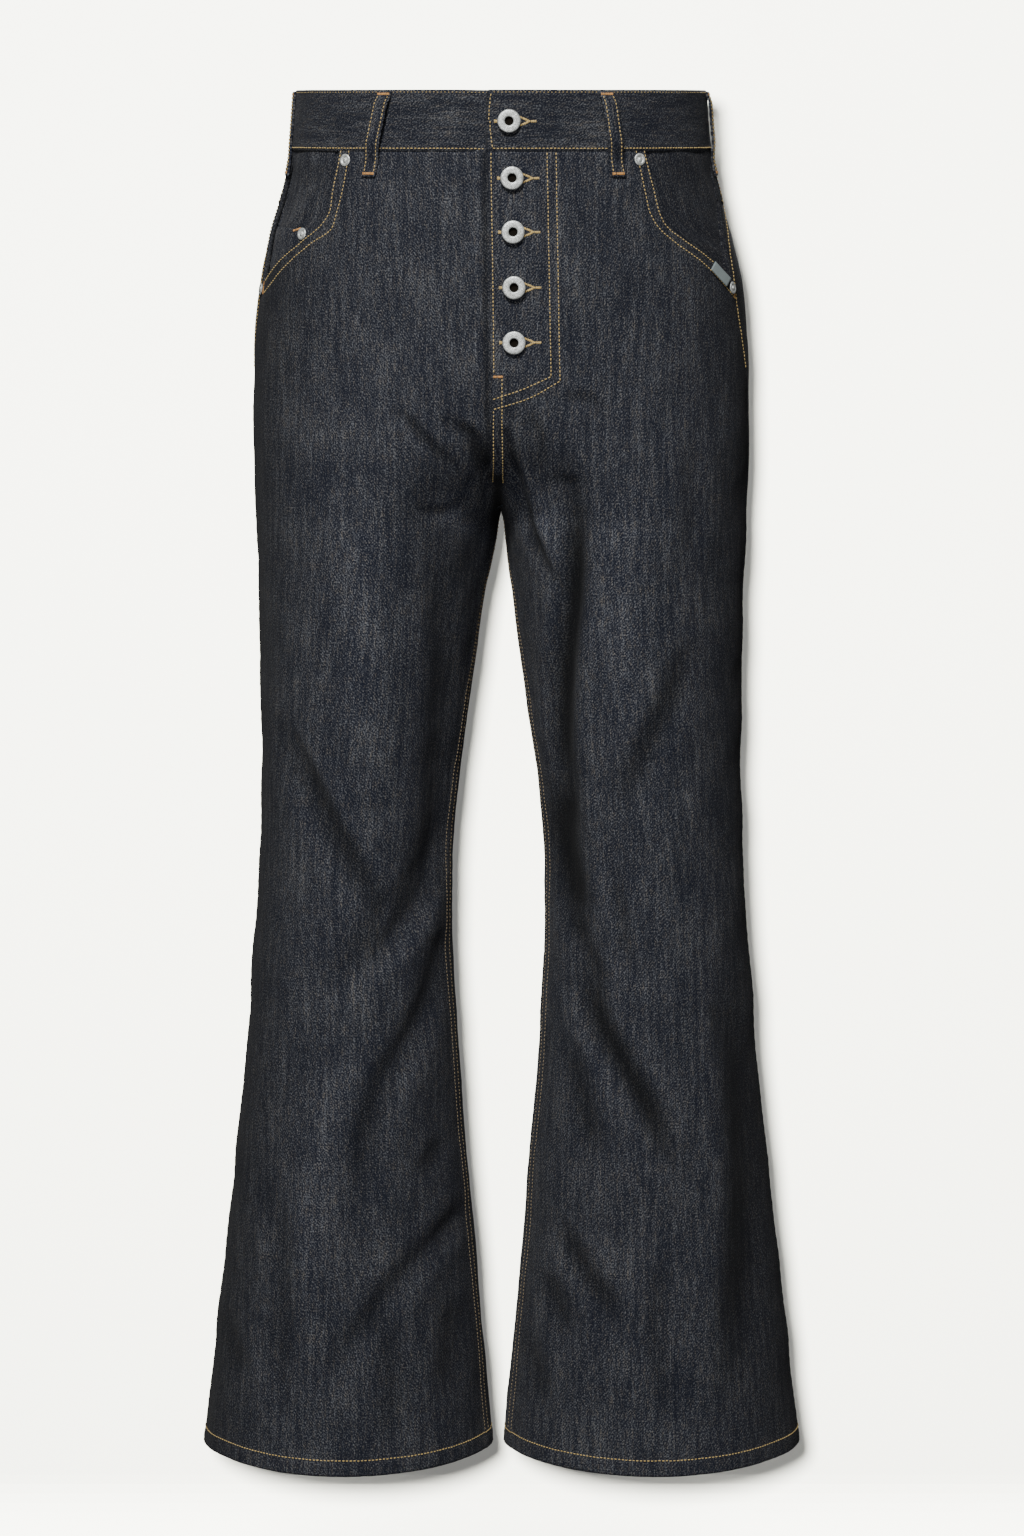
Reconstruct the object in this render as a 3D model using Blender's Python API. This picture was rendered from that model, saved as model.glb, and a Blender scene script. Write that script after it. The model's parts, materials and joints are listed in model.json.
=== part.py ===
"""Bootcut jeans, filled out as if worn by nobody: a hollow waist, seat and two flared legs.

The frame is metres with +Z up.  +X is the viewer's right, the fly faces -Y, and the origin is
the middle of the waistband.  Every piece of cloth is a thin closed wall on one shared form,
worked out from ovals down the body, and what lies on a panel is the same form moved outward.
"""
import math
from collections import namedtuple
from functools import lru_cache

import bmesh
import bpy
from mathutils import Vector

for old in list(bpy.data.objects):
    bpy.data.objects.remove(old, do_unlink=True)

MM = 0.001

# Cloth, the gap along a seam, and the gap that one curved layer needs over another
CLOTH = 1.1 * MM
SEAM_GAP = 0.3 * MM
PATCH_GAP = 1.0 * MM
HALF_GAP = SEAM_GAP / 2
WAIST_HALF = 22.5 * MM
WAISTBAND_CLOTH = 3.0 * MM
WAISTBAND_PROUD = 0.8 * MM
WAIST_TILT = 0.016
WAIST_SEAM_GAP = 0.9 * MM
PANEL_TOP = -WAIST_HALF - WAIST_SEAM_GAP
TILT_FADE = -180 * MM
CROTCH_HEIGHT = -314 * MM
HEM_HEIGHT = -1044 * MM
HEM_DEPTH = 12 * MM
HEM_STEP = 0.6 * MM
HEM_CLOTH = 2.6 * MM
HEM_DIP = 3.0 * MM
HEM_FADE = 250 * MM

# Each row is one level of a leg's oval, in millimetres: the outer and inner edges across,
# the front and back in depth, and how far each side seam turns forward of the edge, in degrees.
# Above the crotch the inner edge lies past the centre line, where the two ovals cross.
Section = namedtuple("Section", "height outer inner front back seam_left seam_right")
SECTIONS = [Section(*row) for row in (
    (30, 157.5, -157.5, -104, 105, 7, 7),
    (0, 159.5, -159.5, -106, 107, 7, 7),
    (-24, 162, -162, -108, 110, 8, 8),
    (-55, 169.5, -168, -110, 116, 13, 10),
    (-90, 179.5, -176, -112, 123, 14, 17),
    (-130, 188.5, -178, -113, 130, 8, 18),
    (-170, 192, -160, -113, 134, 6, 15),
    (-205, 193, -128, -112, 135, 5, 12),
    (-240, 193.5, -84, -110, 132, 5, 9),
    (-268, 193, -46, -108, 127, 5, 7),
    (-290, 192.5, -18, -106, 121, 5, 6),
    (-304, 192, -5, -105, 117, 5, 6),
    (-314, 191.7, 0.8, -104, 114, 5, 6),
    (-328, 191.4, 4, -104, 110, 5, 5),
    (-352, 190.6, 8, -103, 104, 4, 5),
    (-400, 189, 15.4, -101, 96, 4, 4),
    (-450, 188.3, 22.8, -98, 88, 3, 3),
    (-500, 188, 29.2, -94, 81, 3, 3),
    (-550, 189.5, 34.8, -91, 75, 2, 2),
    (-600, 191.8, 36.6, -89, 71, 2, 2),
    (-650, 195.4, 35.4, -88, 70, 2, 2),
    (-720, 201, 31.6, -89, 73, 2, 2),
    (-800, 209.4, 25.6, -91, 79, 2, 2),
    (-900, 221, 17, -95, 88, 2, 2),
    (-985, 231, 9.4, -97, 94, 2, 2),
    (-1044, 238, 4.4, -98, 97, 2, 2),
)]

# The exponent that draws a leg's oval in towards its two seams; the waist's is round.
WAIST_ROUND = 1.0
LEG_POINT = 1.18
# The width and height over which the two ovals merge into one front or back.
MERGE_WIDTH = 13 * MM
MERGE_HEIGHT = 70 * MM
INSEAM_TURN = math.radians(8)
INSEAM_RUN = 70 * MM
PROBE_TURN = 0.004
ARC_STEP = math.radians(0.5)
FOLD_STEPS = 12
# Folds fade out towards the side seam and the inseam, by the share of the leg's half depth.
FOLD_FADE_START = 0.12
FOLD_FADE_END = 0.55
TINY = 0.01 * MM

# Each row is one fold: front or back, the places across and up where it starts, bends and
# ends, its half width and its depth, in millimetres.
Fold = namedtuple("Fold", "face x1 z1 x2 z2 x3 z3 width depth")
FOLDS = [Fold(*row) for row in (
    ("front", -85, -209, -57, -231, -25, -273, 8, 2.2),
    ("front", -41, -228, -23, -232, -9, -264, 10, 3.6),
    ("front", -73, -290, -54, -300, -30, -296, 9, 2.6),
    ("front", -58, -309, -37, -373, -35, -509, 16, 5.0),
    ("front", -174, -474, -148, -507, -110, -570, 11, 3.4),
    ("front", -46, -552, -82, -617, -160, -689, 20, 6.0),
    ("front", -48, -647, -83, -724, -117, -841, 15, 5.0),
    ("front", -49, -793, -55, -803, -65, -816, 10, 2.0),
    ("front", -35, -857, -87, -905, -146, -989, 14, 4.4),
    ("front", 7, -245, 16, -287, 27, -329, 9, 2.8),
    ("front", 55, -212, 74, -212, 87, -227, 10, 2.0),
    ("front", 33, -273, 49, -269, 66, -272, 8, 1.6),
    ("front", 54, -288, 48, -364, 44, -475, 12, 5.6),
    ("front", 43, -507, 50, -577, 87, -659, 20, 4.6),
    ("front", 69, -664, 101, -736, 150, -810, 13, 4.8),
    ("front", 138, -384, 132, -424, 117, -461, 14, 2.4),
    ("front", 54, -869, 73, -893, 92, -936, 12, 3.0),
    ("front", 31, -875, 40, -916, 50, -968, 9, 2.4),
    ("front", 185, -668, 187, -821, 197, -1021, 18, 4.5),
    ("back", -28, -288, -70, -310, -120, -330, 13, 4.0),
    ("back", -60, -360, -58, -430, -66, -520, 14, 3.6),
    ("back", -52, -575, -110, -600, -168, -596, 15, 5.0),
    ("back", -60, -660, -120, -705, -176, -715, 16, 4.4),
    ("back", -60, -770, -90, -860, -150, -930, 15, 3.8),
    ("back", 26, -284, 64, -312, 112, -326, 12, 3.6),
    ("back", 58, -350, 62, -440, 60, -530, 15, 3.8),
    ("back", 50, -590, 104, -618, 164, -610, 16, 5.0),
    ("back", 66, -640, 118, -680, 180, -704, 14, 4.0),
    ("back", 52, -800, 96, -880, 160, -930, 16, 4.0),
)]

# Each hip pocket's opening edge, from the waistband down to the side seam, in millimetres.
PocketEdge = namedtuple("PocketEdge", "height left right")
POCKET_EDGE = [PocketEdge(*row) for row in (
    (-22, 122, 109.3), (-35, 124.4, 112.2), (-52, 128.3, 116.7), (-68, 131.8, 121),
    (-74, 134, 123.4), (-80, 139.5, 128), (-92, 152.8, 142.6), (-107, 169.5, 162.8), (-126, 186.2, 178),
)]
POCKET_END = -127 * MM

# The fly's free edge, which runs on down as the centre seam's, in millimetres.
FlyEdge = namedtuple("FlyEdge", "height across")
FLY_EDGE = [FlyEdge(*row) for row in (
    (30, -8.6), (-25, -8.1), (-135, -6.7), (-210, -6.2), (-255, -5.2), (-280, -2), (-294, 0), (-314, 0),
)]
FLY_END = -212 * MM
FLY_BLEND = 20 * MM
FLY_RAISE = 0.6 * MM
FLY_DROP = -0.5 * MM
FLY_FADE = 48 * MM

# Fly underlap
UNDERLAP_LEFT = -32 * MM
UNDERLAP_RIGHT = 36 * MM
UNDERLAP_LIFT = -2.0 * MM
UNDERLAP_END = -200 * MM

# The waistband's plain end, which dips under the buttoned end
UNDER_END_ACROSS = 38 * MM
WAISTBAND_TUCK = WAISTBAND_CLOTH + SEAM_GAP
UNDER_RAMP_START = -34 * MM
UNDER_RAMP_END = -11 * MM
WAISTBAND_LAST_PART = 0.9

# The yoke's lower seam, from the side seam to the centre back
YOKE_SIDE = -62 * MM
YOKE_CENTRE = -96 * MM
SLANT_END = -230 * MM

# Pocket facings and coin pocket
FACING_INSET = 14 * MM
FACING_SEAM_MARGIN = 0.5 * MM
FACING_END = -146 * MM
COIN_TOP = -78.5 * MM
COIN_END = -124 * MM
COIN_INNER = 127 * MM
COIN_SEAM_MARGIN = 9 * MM

# Back pockets
BACK_POCKET_TOP = -124 * MM
BACK_POCKET_SIDE_RISE = 9 * MM
BACK_POCKET_DEPTH = 140 * MM
BACK_POCKET_POINT = 18 * MM
BACK_POCKET_INNER = 34 * MM
BACK_POCKET_WIDTH = 146 * MM
BACK_POCKET_TAPER = 11 * MM

# Belt loops
LOOP_WIDTH = 10.8 * MM
LOOP_CLOTH = 1.6 * MM
LOOP_TOP = 21.5 * MM
LOOP_BOTTOM = -42 * MM
LOOP_TACK = 10 * MM
LOOP_OPEN = 15 * MM
LOOP_STAND = WAISTBAND_PROUD + 6.2 * MM
LOOP_ROWS = (21.5, 18, 15.5, 13.5, 11, 4, -4, -12, -16, -19, -22, -25, -28, -31, -36, -42)
# Each row is one belt loop: where its top and bottom ends lie across, in millimetres, and
# whether that is on the front, at a side or behind.
Loop = namedtuple("Loop", "name place top bottom")
LOOPS = [Loop(*row) for row in (
    ("belt_loop_front_left", "front", -86.5, -99.7), ("belt_loop_front_right", "front", 79, 88.2),
    ("belt_loop_side_left", "side", -1, -1), ("belt_loop_side_right", "side", 1, 1),
    ("belt_loop_back", "back", 0, 0),
)]

# Buttons: each row is the height and the place across of one centre, in millimetres.
Stud = namedtuple("Stud", "height across")
BUTTONS = [Stud(*row) for row in ((-0.4, 6.2), (-42.9, 8.4), (-83.5, 9.2), (-125.5, 9.9), (-167, 10))]
# Each row is one ring of a button's turned shape, shank first, then the head and its hollow middle.
Ring = namedtuple("Ring", "radius rise")
BUTTON_RINGS = [Ring(*row) for row in (
    (0, 0), (3.6, 0), (3.6, 1.6), (7.7, 1.6), (9.0, 2.65), (8.55, 3.85), (7.0, 4.6), (4.95, 4.6),
    (3.3, 3.85), (3.0, 2.2), (0, 2.2),
)]
BUTTON_SIDES = 20

# Rivets: each row is the side, the height and the place across of one centre, and its lift.
Rivet = namedtuple("Rivet", "name side height across lift")
RIVETS = [Rivet(*row) for row in (
    ("rivet_left_top", -1, -29.6, 117.6, 0), ("rivet_left_side", -1, -130, 183.6, 0.3),
    ("rivet_coin_pocket", -1, -82.6, 151.4, -1.9),
    ("rivet_right_top", 1, -29, 104.8, 0), ("rivet_right_side", 1, -131.5, 176, 0.3),
)]
# Each row is one ring of a rivet's cap, which rises to a nub in its middle.
RIVET_RINGS = [Ring(*row) for row in (
    (0, 0), (4.5, 0), (4.5, 0.35), (3.5, 0.7), (1.9, 0.47), (1.35, 1.3), (0, 1.3),
)]
RIVET_SIDES = 14

# Bare tab on the edge of the viewer's right hip pocket
TAB_THICK = 1.0 * MM
# Its upper corner, how it leans along the edge, and how it reaches over it, in millimetres
TAB_TOP = -107.5
TAB_BOTTOM = -120.5
TAB_ACROSS = 162.6
TAB_LEAN = 12
TAB_DROP = 5.6
TAB_SIDE = 3

# Mesh rows and columns
LEG_ROWS = (-150, -172, -195, -218, -240, -260, -276, -288, -297, -304, -309.5, -314, -322, -340, -366, -394,
            -424, -456, -488, -520, -552, -584, -614, -642, -668, -694, -722, -752, -784, -818, -852, -888,
            -924, -960, -996)
HIP_ROWS = (-36, -50, -62, -70, -76, -82, -90, -99, -108, -118, -128)
FRONT_COLUMNS = 14
BACK_COLUMNS = 13
YOKE_ROWS = 3
WAISTBAND_ROWS = 2
WAISTBAND_COLUMNS = 72
UNDERLAP_ROWS = 12
UNDERLAP_COLUMNS = 4
FACING_ROWS = 10
FACING_COLUMNS = 6
COIN_ROWS = 8
COIN_COLUMNS = 6
BACK_POCKET_ROWS = 9
BACK_POCKET_COLUMNS = 9
TAB_ROWS = 4
TAB_COLUMNS = 2

# Finishes: colour, roughness and metallic value
DENIM = ((0.030, 0.033, 0.043), 0.85, 0.0)
STEEL = ((0.62, 0.64, 0.63), 0.4, 1.0)
TAB_GREY = ((0.33, 0.38, 0.38), 0.6, 0.0)


# ---- the form ------------------------------------------------------------------------------

def table_value(rows, column, height):
    """Smooth curve through one column of a table whose first column is the height in mm."""
    level = height / MM
    heights = [row[0] for row in rows]
    values = [getattr(row, column) for row in rows]
    if level >= heights[0]:
        return values[0]
    if level <= heights[-1]:
        return values[-1]
    below = next(i for i, value in enumerate(heights) if value < level)
    above = below - 1

    def slope(i):
        first, last = max(i - 1, 0), min(i + 1, len(rows) - 1)
        return (values[last] - values[first]) / (heights[last] - heights[first])

    step = heights[below] - heights[above]
    part = (level - heights[above]) / step
    square, cube = part * part, part * part * part
    start = (2 * cube - 3 * square + 1) * values[above] + (cube - 2 * square + part) * step * slope(above)
    return start + (3 * square - 2 * cube) * values[below] + (cube - square) * step * slope(below)


def ease(value, start, end):
    """0 at start, 1 at end, with a soft beginning and finish."""
    part = min(max((value - start) / (end - start), 0.0), 1.0)
    return part * part * (3 - 2 * part)


class Oval:
    """One leg's oval at a height: its middle and half sizes, in metres."""

    def __init__(self, height):
        outer, inner, front, back = [
            table_value(SECTIONS, column, height) * MM for column in ("outer", "inner", "front", "back")]
        self.mid_x = (outer + inner) / 2
        self.half_x = (outer - inner) / 2
        self.mid_y = (front + back) / 2
        self.half_y = (back - front) / 2
        merging = ease(height, CROTCH_HEIGHT, CROTCH_HEIGHT + MERGE_HEIGHT)
        self.power = LEG_POINT + (WAIST_ROUND - LEG_POINT) * merging
        self.merge = MERGE_WIDTH * merging
        self.seams = {side: math.pi - math.radians(table_value(SECTIONS, column, height))
                      for side, column in ((-1, "seam_left"), (1, "seam_right"))}

    def turn_at(self, across):
        """The turn round the oval of a place on its front, by its distance from the centre line."""
        return math.acos(max(-1.0, min(1.0, (self.mid_x - across) / self.half_x)))


@lru_cache(maxsize=None)
def oval(height):
    return Oval(height)


def skin(side, turn, height):
    """A point of the plain form.  The turn is 0 at the inseam, 90 in front, 180 outside, 270 behind."""
    level = oval(height)
    across = level.mid_x - level.half_x * math.cos(turn)
    distance = abs(across)
    if level.merge > 0:
        distance += level.merge * math.exp(-distance / level.merge)
    cosine = max(-1.0, min(1.0, (level.mid_x - distance) / level.half_x))
    depth = level.half_y * (1 - cosine * cosine) ** (level.power / 2)
    y = level.mid_y - math.copysign(depth, math.sin(turn))
    tilt = WAIST_TILT * y * ease(height, TILT_FADE, 0)
    dip = HEM_DIP * (depth / level.half_y) ** 2 * ease(height, HEM_HEIGHT + HEM_FADE, HEM_HEIGHT)
    return Vector((side * across, y, height + tilt - dip))


def fold_depth(face, x, z):
    """How far the folds of one face sink the cloth at a place."""
    total = 0.0
    for fold in FOLDS:
        if fold.face != face:
            continue
        bend_x = 2 * fold.x2 - (fold.x1 + fold.x3) / 2
        bend_z = 2 * fold.z2 - (fold.z1 + fold.z3) / 2
        nearest, place = math.inf, 0.0
        for step in range(FOLD_STEPS + 1):
            t = step / FOLD_STEPS
            fold_x = (1 - t) ** 2 * fold.x1 + 2 * t * (1 - t) * bend_x + t * t * fold.x3
            fold_z = (1 - t) ** 2 * fold.z1 + 2 * t * (1 - t) * bend_z + t * t * fold.z3
            distance = math.hypot(x / MM - fold_x, z / MM - fold_z)
            if distance < nearest:
                nearest, place = distance, t
        total += fold.depth * MM * math.sin(math.pi * place) * math.exp(-(nearest / fold.width) ** 2)
    return total


def cloth_point(side, turn, height, lift=0.0):
    """A point on the folded form, moved outward by a lift."""
    here = skin(side, turn, height)
    around = skin(side, turn + PROBE_TURN, height) - skin(side, turn - PROBE_TURN, height)
    down = skin(side, turn, height - MM) - skin(side, turn, height + MM)
    normal = down.cross(around).normalized() * side
    level = oval(height)
    face = "front" if here.y < level.mid_y else "back"
    clear_of_seams = ease(abs(here.y - level.mid_y) / level.half_y, FOLD_FADE_START, FOLD_FADE_END)
    return here + normal * (lift - fold_depth(face, here.x, here.z) * clear_of_seams)


def waist_point(turn, height, lift=0.0):
    """A point round the waist, by turns from the front centre towards the viewer's right."""
    return cloth_point(1, math.pi / 2 + 2 * math.pi * turn, height, lift)


def front_waist_turn(across, height):
    """The part of a turn round the waist at which a place on the front lies."""
    return math.asin(across / oval(height).half_x) / (2 * math.pi)


def turn_after(side, turn, height, arc):
    """The turn reached from a turn after a length of cloth round the oval."""
    step = math.copysign(ARC_STEP, arc)
    gone, last = 0.0, skin(side, turn, height)
    while True:
        turn += step
        point = skin(side, turn, height)
        length = (point - last).length
        if gone + length >= abs(arc):
            return turn - step * (gone + length - abs(arc)) / length
        gone, last = gone + length, point


# ---- building ------------------------------------------------------------------------------

def material(name, colour, roughness, metallic=0.0):
    made = bpy.data.materials.new(name)
    made.use_nodes = True
    shader = made.node_tree.nodes["Principled BSDF"]
    shader.inputs["Base Color"].default_value = (*colour, 1.0)
    shader.inputs["Roughness"].default_value = roughness
    shader.inputs["Metallic"].default_value = metallic
    return made


def add_piece(name, builder, finish):
    bmesh.ops.recalc_face_normals(builder, faces=builder.faces)
    mesh = bpy.data.meshes.new(name)
    builder.to_mesh(mesh)
    builder.free()
    mesh.materials.append(material(name, *finish))
    piece = bpy.data.objects.new(name, mesh)
    bpy.context.scene.collection.objects.link(piece)
    return piece


def wall(name, outer, inner, finish):
    """One closed wall between two grids of points, each a list of rows of equal length."""
    builder = bmesh.new()
    rows, columns = len(outer), len(outer[0])
    sides = [[[builder.verts.new(point) for point in row] for row in grid] for grid in (outer, inner)]
    for grid in sides:
        for i in range(rows - 1):
            for j in range(columns - 1):
                builder.faces.new((grid[i][j], grid[i][j + 1], grid[i + 1][j + 1], grid[i + 1][j]))
    rim = [(0, j) for j in range(columns)] + [(i, columns - 1) for i in range(1, rows)]
    rim += [(rows - 1, j) for j in range(columns - 2, -1, -1)] + [(i, 0) for i in range(rows - 2, 0, -1)]
    for (i, j), (k, m) in zip(rim, rim[1:] + rim[:1]):
        builder.faces.new((sides[0][i][j], sides[1][i][j], sides[1][k][m], sides[0][k][m]))
    return add_piece(name, builder, finish)


def panel(name, side, rows, columns, place, finish, cloth=CLOTH):
    """A wall whose place(row, part across) gives a turn, a height, a lift and a thickness."""
    outer, inner = [], []
    for row in rows:
        spots = [place(row, column / columns) for column in range(columns + 1)]
        outer.append([cloth_point(side, turn, height, lift) for turn, height, lift in spots])
        inner.append([cloth_point(side, turn, height, lift - thickness(height, cloth))
                      for turn, height, lift in spots])
    return wall(name, outer, inner, finish)


def thickness(height, cloth):
    """The hem is turned up twice inside, so its cloth is thicker."""
    return HEM_CLOTH if height < HEM_HEIGHT + HEM_DEPTH + TINY else cloth


def turned(name, profile, segments, centre, outward, finish):
    """A solid turned from rings of radius and rise, the first and last of them on its axis."""
    builder = bmesh.new()
    frame = outward.to_track_quat("Z", "Y")
    rings = []
    for row in profile:
        count = segments if row.radius > 0 else 1
        ring = []
        for step in range(count):
            angle = 2 * math.pi * step / count
            spot = Vector((row.radius * math.cos(angle), row.radius * math.sin(angle), row.rise))
            ring.append(builder.verts.new(centre + frame @ (spot * MM)))
        rings.append(ring)
    for lower, upper in zip(rings, rings[1:]):
        for step in range(segments):
            after = step + 1
            corners = [lower[step % len(lower)], lower[after % len(lower)],
                       upper[after % len(upper)], upper[step % len(upper)]]
            builder.faces.new(list(dict.fromkeys(corners)))
    return add_piece(name, builder, finish)


def fly_edge(height):
    return table_value(FLY_EDGE, "across", height) * MM


def pocket_edge(side, height):
    return table_value(POCKET_EDGE, "left" if side < 0 else "right", height) * MM


def inseam_turn(height):
    """The inseam lies a little forward of the leg's inner edge."""
    return INSEAM_TURN * ease(height, CROTCH_HEIGHT, CROTCH_HEIGHT - INSEAM_RUN)


def fly_lift(side, across, height):
    """The buttoned front stands proud of the other along the fly."""
    near = 1 - ease(abs(side * across - fly_edge(height)), 0, FLY_FADE)
    raised = FLY_RAISE if side > 0 else FLY_DROP
    return raised * near * ease(height, FLY_END - FLY_BLEND, FLY_END + FLY_BLEND)


def centre_turn(side, height, behind=False):
    """The turn of a half's edge at the centre seam, or at the inseam below the crotch."""
    if height <= CROTCH_HEIGHT:
        turn = turn_after(side, inseam_turn(height), height, -HALF_GAP if behind else HALF_GAP)
        return turn + 2 * math.pi if behind else turn
    if behind:
        return 2 * math.pi - oval(height).turn_at(HALF_GAP)
    return oval(height).turn_at(side * fly_edge(height) + HALF_GAP)


def seam_turn(side, height, behind=False):
    return turn_after(side, oval(height).seams[side], height, HALF_GAP if behind else -HALF_GAP)


def yoke_line(part):
    """Height of the yoke's lower seam, from the side seam at 0 to the centre back at 1."""
    return YOKE_SIDE + (YOKE_CENTRE - YOKE_SIDE) * part


def level_rows(first, last, count):
    return [first + (last - first) * step / count for step in range(count + 1)]


def leg_rows(first, levels):
    """Row heights from a first one down to the hem."""
    inside = [level * MM for level in levels]
    return [first] + inside + [HEM_HEIGHT + HEM_DEPTH + HEM_STEP, HEM_HEIGHT + HEM_DEPTH, HEM_HEIGHT]


def make_front(side, name):
    """A front leg panel, cut away at the hip in the curve of its pocket opening."""
    def place(height, part):
        start = centre_turn(side, height)
        end = seam_turn(side, height)
        if height > POCKET_END:
            end = min(end, oval(height).turn_at(pocket_edge(side, height)))
        turn = start + (end - start) * part
        across = oval(height).mid_x - oval(height).half_x * math.cos(turn)
        return turn, height, fly_lift(side, across, height)

    panel(name, side, leg_rows(PANEL_TOP, HIP_ROWS + LEG_ROWS), FRONT_COLUMNS, place, DENIM)


def make_back(side, name):
    """A back leg panel under the yoke's slanted seam, whose slant fades out below the seat."""
    def place(row, part):
        slant = (yoke_line(part) - YOKE_SIDE) * ease(row, SLANT_END, YOKE_SIDE)
        height = row - SEAM_GAP * ease(row, SLANT_END, YOKE_SIDE) + slant
        start, end = seam_turn(side, height, True), centre_turn(side, height, True)
        return start + (end - start) * part, height, 0.0

    rows = leg_rows(YOKE_SIDE, (-84, -106, -128) + LEG_ROWS)
    panel(name, side, rows, BACK_COLUMNS, place, DENIM)


def make_yoke(side, name):
    """The shaped piece between the waistband and a back, deepest at the centre back."""
    def place(row, part):
        height = PANEL_TOP + (yoke_line(part) - PANEL_TOP) * row
        start, end = seam_turn(side, height, True), centre_turn(side, height, True)
        return start + (end - start) * part, height, 0.0

    panel(name, side, level_rows(0, 1, YOKE_ROWS), BACK_COLUMNS, place, DENIM)


def make_waistband():
    """One strip right round, whose plain end tucks under its buttoned end."""
    start = front_waist_turn(fly_edge(0) + HALF_GAP, 0)
    end = 1 + front_waist_turn(UNDER_END_ACROSS, 0)
    outer, inner = [], []
    for row in range(WAISTBAND_ROWS + 1):
        height = WAIST_HALF * (1 - 2 * row / WAISTBAND_ROWS)
        lines = [], []
        for column in range(WAISTBAND_COLUMNS + 1):
            turn = start + (end - start) * column / WAISTBAND_COLUMNS
            across = oval(height).half_x * math.sin(2 * math.pi * (turn - 1))
            tucked = ease(across, UNDER_RAMP_START, UNDER_RAMP_END) if turn > WAISTBAND_LAST_PART else 0
            lift = WAISTBAND_PROUD - WAISTBAND_TUCK * tucked
            lines[0].append(waist_point(turn, height, lift))
            lines[1].append(waist_point(turn, height, lift - WAISTBAND_CLOTH))
        outer.append(lines[0])
        inner.append(lines[1])
    wall("waistband", outer, inner, DENIM)


def make_underlap():
    """The strip behind the buttoned front that the buttons are fixed to."""
    def place(height, part):
        across = UNDERLAP_LEFT + (UNDERLAP_RIGHT - UNDERLAP_LEFT) * part
        return oval(height).turn_at(across), height, UNDERLAP_LIFT

    rows = level_rows(PANEL_TOP, UNDERLAP_END, UNDERLAP_ROWS)
    panel("fly_underlap", 1, rows, UNDERLAP_COLUMNS, place, DENIM)


def make_facing(side, name):
    """The piece of denim seen inside a hip pocket's opening."""
    lift = -(CLOTH + PATCH_GAP) * (1 if side > 0 else 2)

    def place(height, part):
        start = oval(height).turn_at(pocket_edge(side, max(height, POCKET_END)) - FACING_INSET)
        end = turn_after(side, oval(height).seams[side], height, -FACING_SEAM_MARGIN)
        return start + (end - start) * part, height, lift

    panel(name, side, level_rows(PANEL_TOP, FACING_END, FACING_ROWS), FACING_COLUMNS, place, DENIM)


def make_coin_pocket():
    """The small patch on the viewer's left facing, which runs under the front's edge."""
    def place(height, part):
        start = oval(height).turn_at(COIN_INNER)
        end = turn_after(-1, oval(height).seams[-1], height, -COIN_SEAM_MARGIN)
        return start + (end - start) * part, height, -(CLOTH + PATCH_GAP)

    panel("coin_pocket", -1, level_rows(COIN_TOP, COIN_END, COIN_ROWS), COIN_COLUMNS, place, DENIM)


def make_back_pocket(side, name):
    """A plain five-sided patch, made from the back's points moved out."""
    def place(row, part):
        centred = 2 * part - 1
        height = BACK_POCKET_TOP - BACK_POCKET_DEPTH * row + BACK_POCKET_SIDE_RISE * part
        height -= BACK_POCKET_POINT * (1 - abs(centred)) * row
        width = BACK_POCKET_WIDTH - 2 * BACK_POCKET_TAPER * row
        arc = BACK_POCKET_INNER + BACK_POCKET_TAPER * row + width * part
        turn = turn_after(side, centre_turn(side, height, True), height, -arc)
        return turn, height, CLOTH + PATCH_GAP

    panel(name, side, level_rows(0, 1, BACK_POCKET_ROWS), BACK_POCKET_COLUMNS, place, DENIM)


def make_belt_loop(loop):
    """A folded strip, tacked to the band's top and below it, standing off in between."""
    outer, inner = [], []
    seat = WAISTBAND_PROUD + SEAM_GAP
    for row in LOOP_ROWS:
        height = row * MM
        lower = SEAM_GAP + (LOOP_STAND - SEAM_GAP) * ease(height, LOOP_BOTTOM + LOOP_TACK, -LOOP_OPEN)
        upper = seat + (LOOP_STAND - seat) * ease(height, LOOP_TOP, LOOP_TOP - LOOP_TACK)
        lift = min(lower, upper)
        part = (height - LOOP_BOTTOM) / (LOOP_TOP - LOOP_BOTTOM)
        middle = loop_turn(loop, height, loop.bottom + (loop.top - loop.bottom) * part)
        turns = [turn_after(1, middle, height, arc) for arc in (-LOOP_WIDTH / 2, -TINY, LOOP_WIDTH / 2)]
        outer.append([cloth_point(1, turn, height, lift + LOOP_CLOTH) for turn in turns])
        inner.append([cloth_point(1, turn, height, lift) for turn in turns])
    wall(loop.name, outer, inner, DENIM)


def loop_turn(loop, height, across):
    """Where a belt loop's middle lies round the waist, as a turn on the viewer's right half."""
    if loop.place == "front":
        return math.pi / 2 + math.asin(across * MM / oval(height).half_x)
    if loop.place == "back":
        return 3 * math.pi / 2
    return math.pi / 2 + across * (oval(height).seams[across] - math.pi / 2)


def outward_at(side, turn, height):
    """Middle point and outward direction of the cloth at a place."""
    base = cloth_point(side, turn, height)
    return base, (cloth_point(side, turn, height, CLOTH) - base).normalized()


def make_button(number, stud):
    """A ring-topped metal button with a dark hollow middle, on a short shank through its hole."""
    height, across = stud.height * MM, stud.across * MM
    base, outward = outward_at(1, oval(height).turn_at(across), height)
    lift = WAISTBAND_PROUD if height > PANEL_TOP else fly_lift(1, across, height)
    foot = base + outward * (lift + SEAM_GAP)
    turned(f"button_{number}", BUTTON_RINGS, BUTTON_SIDES, foot, outward, STEEL)


def make_rivet(rivet):
    """A low domed rivet cap with a raised nub."""
    height = rivet.height * MM
    base, outward = outward_at(rivet.side, oval(height).turn_at(rivet.across * MM), height)
    foot = base + outward * (rivet.lift * MM + SEAM_GAP)
    turned(rivet.name, RIVET_RINGS, RIVET_SIDES, foot, outward, STEEL)


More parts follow.
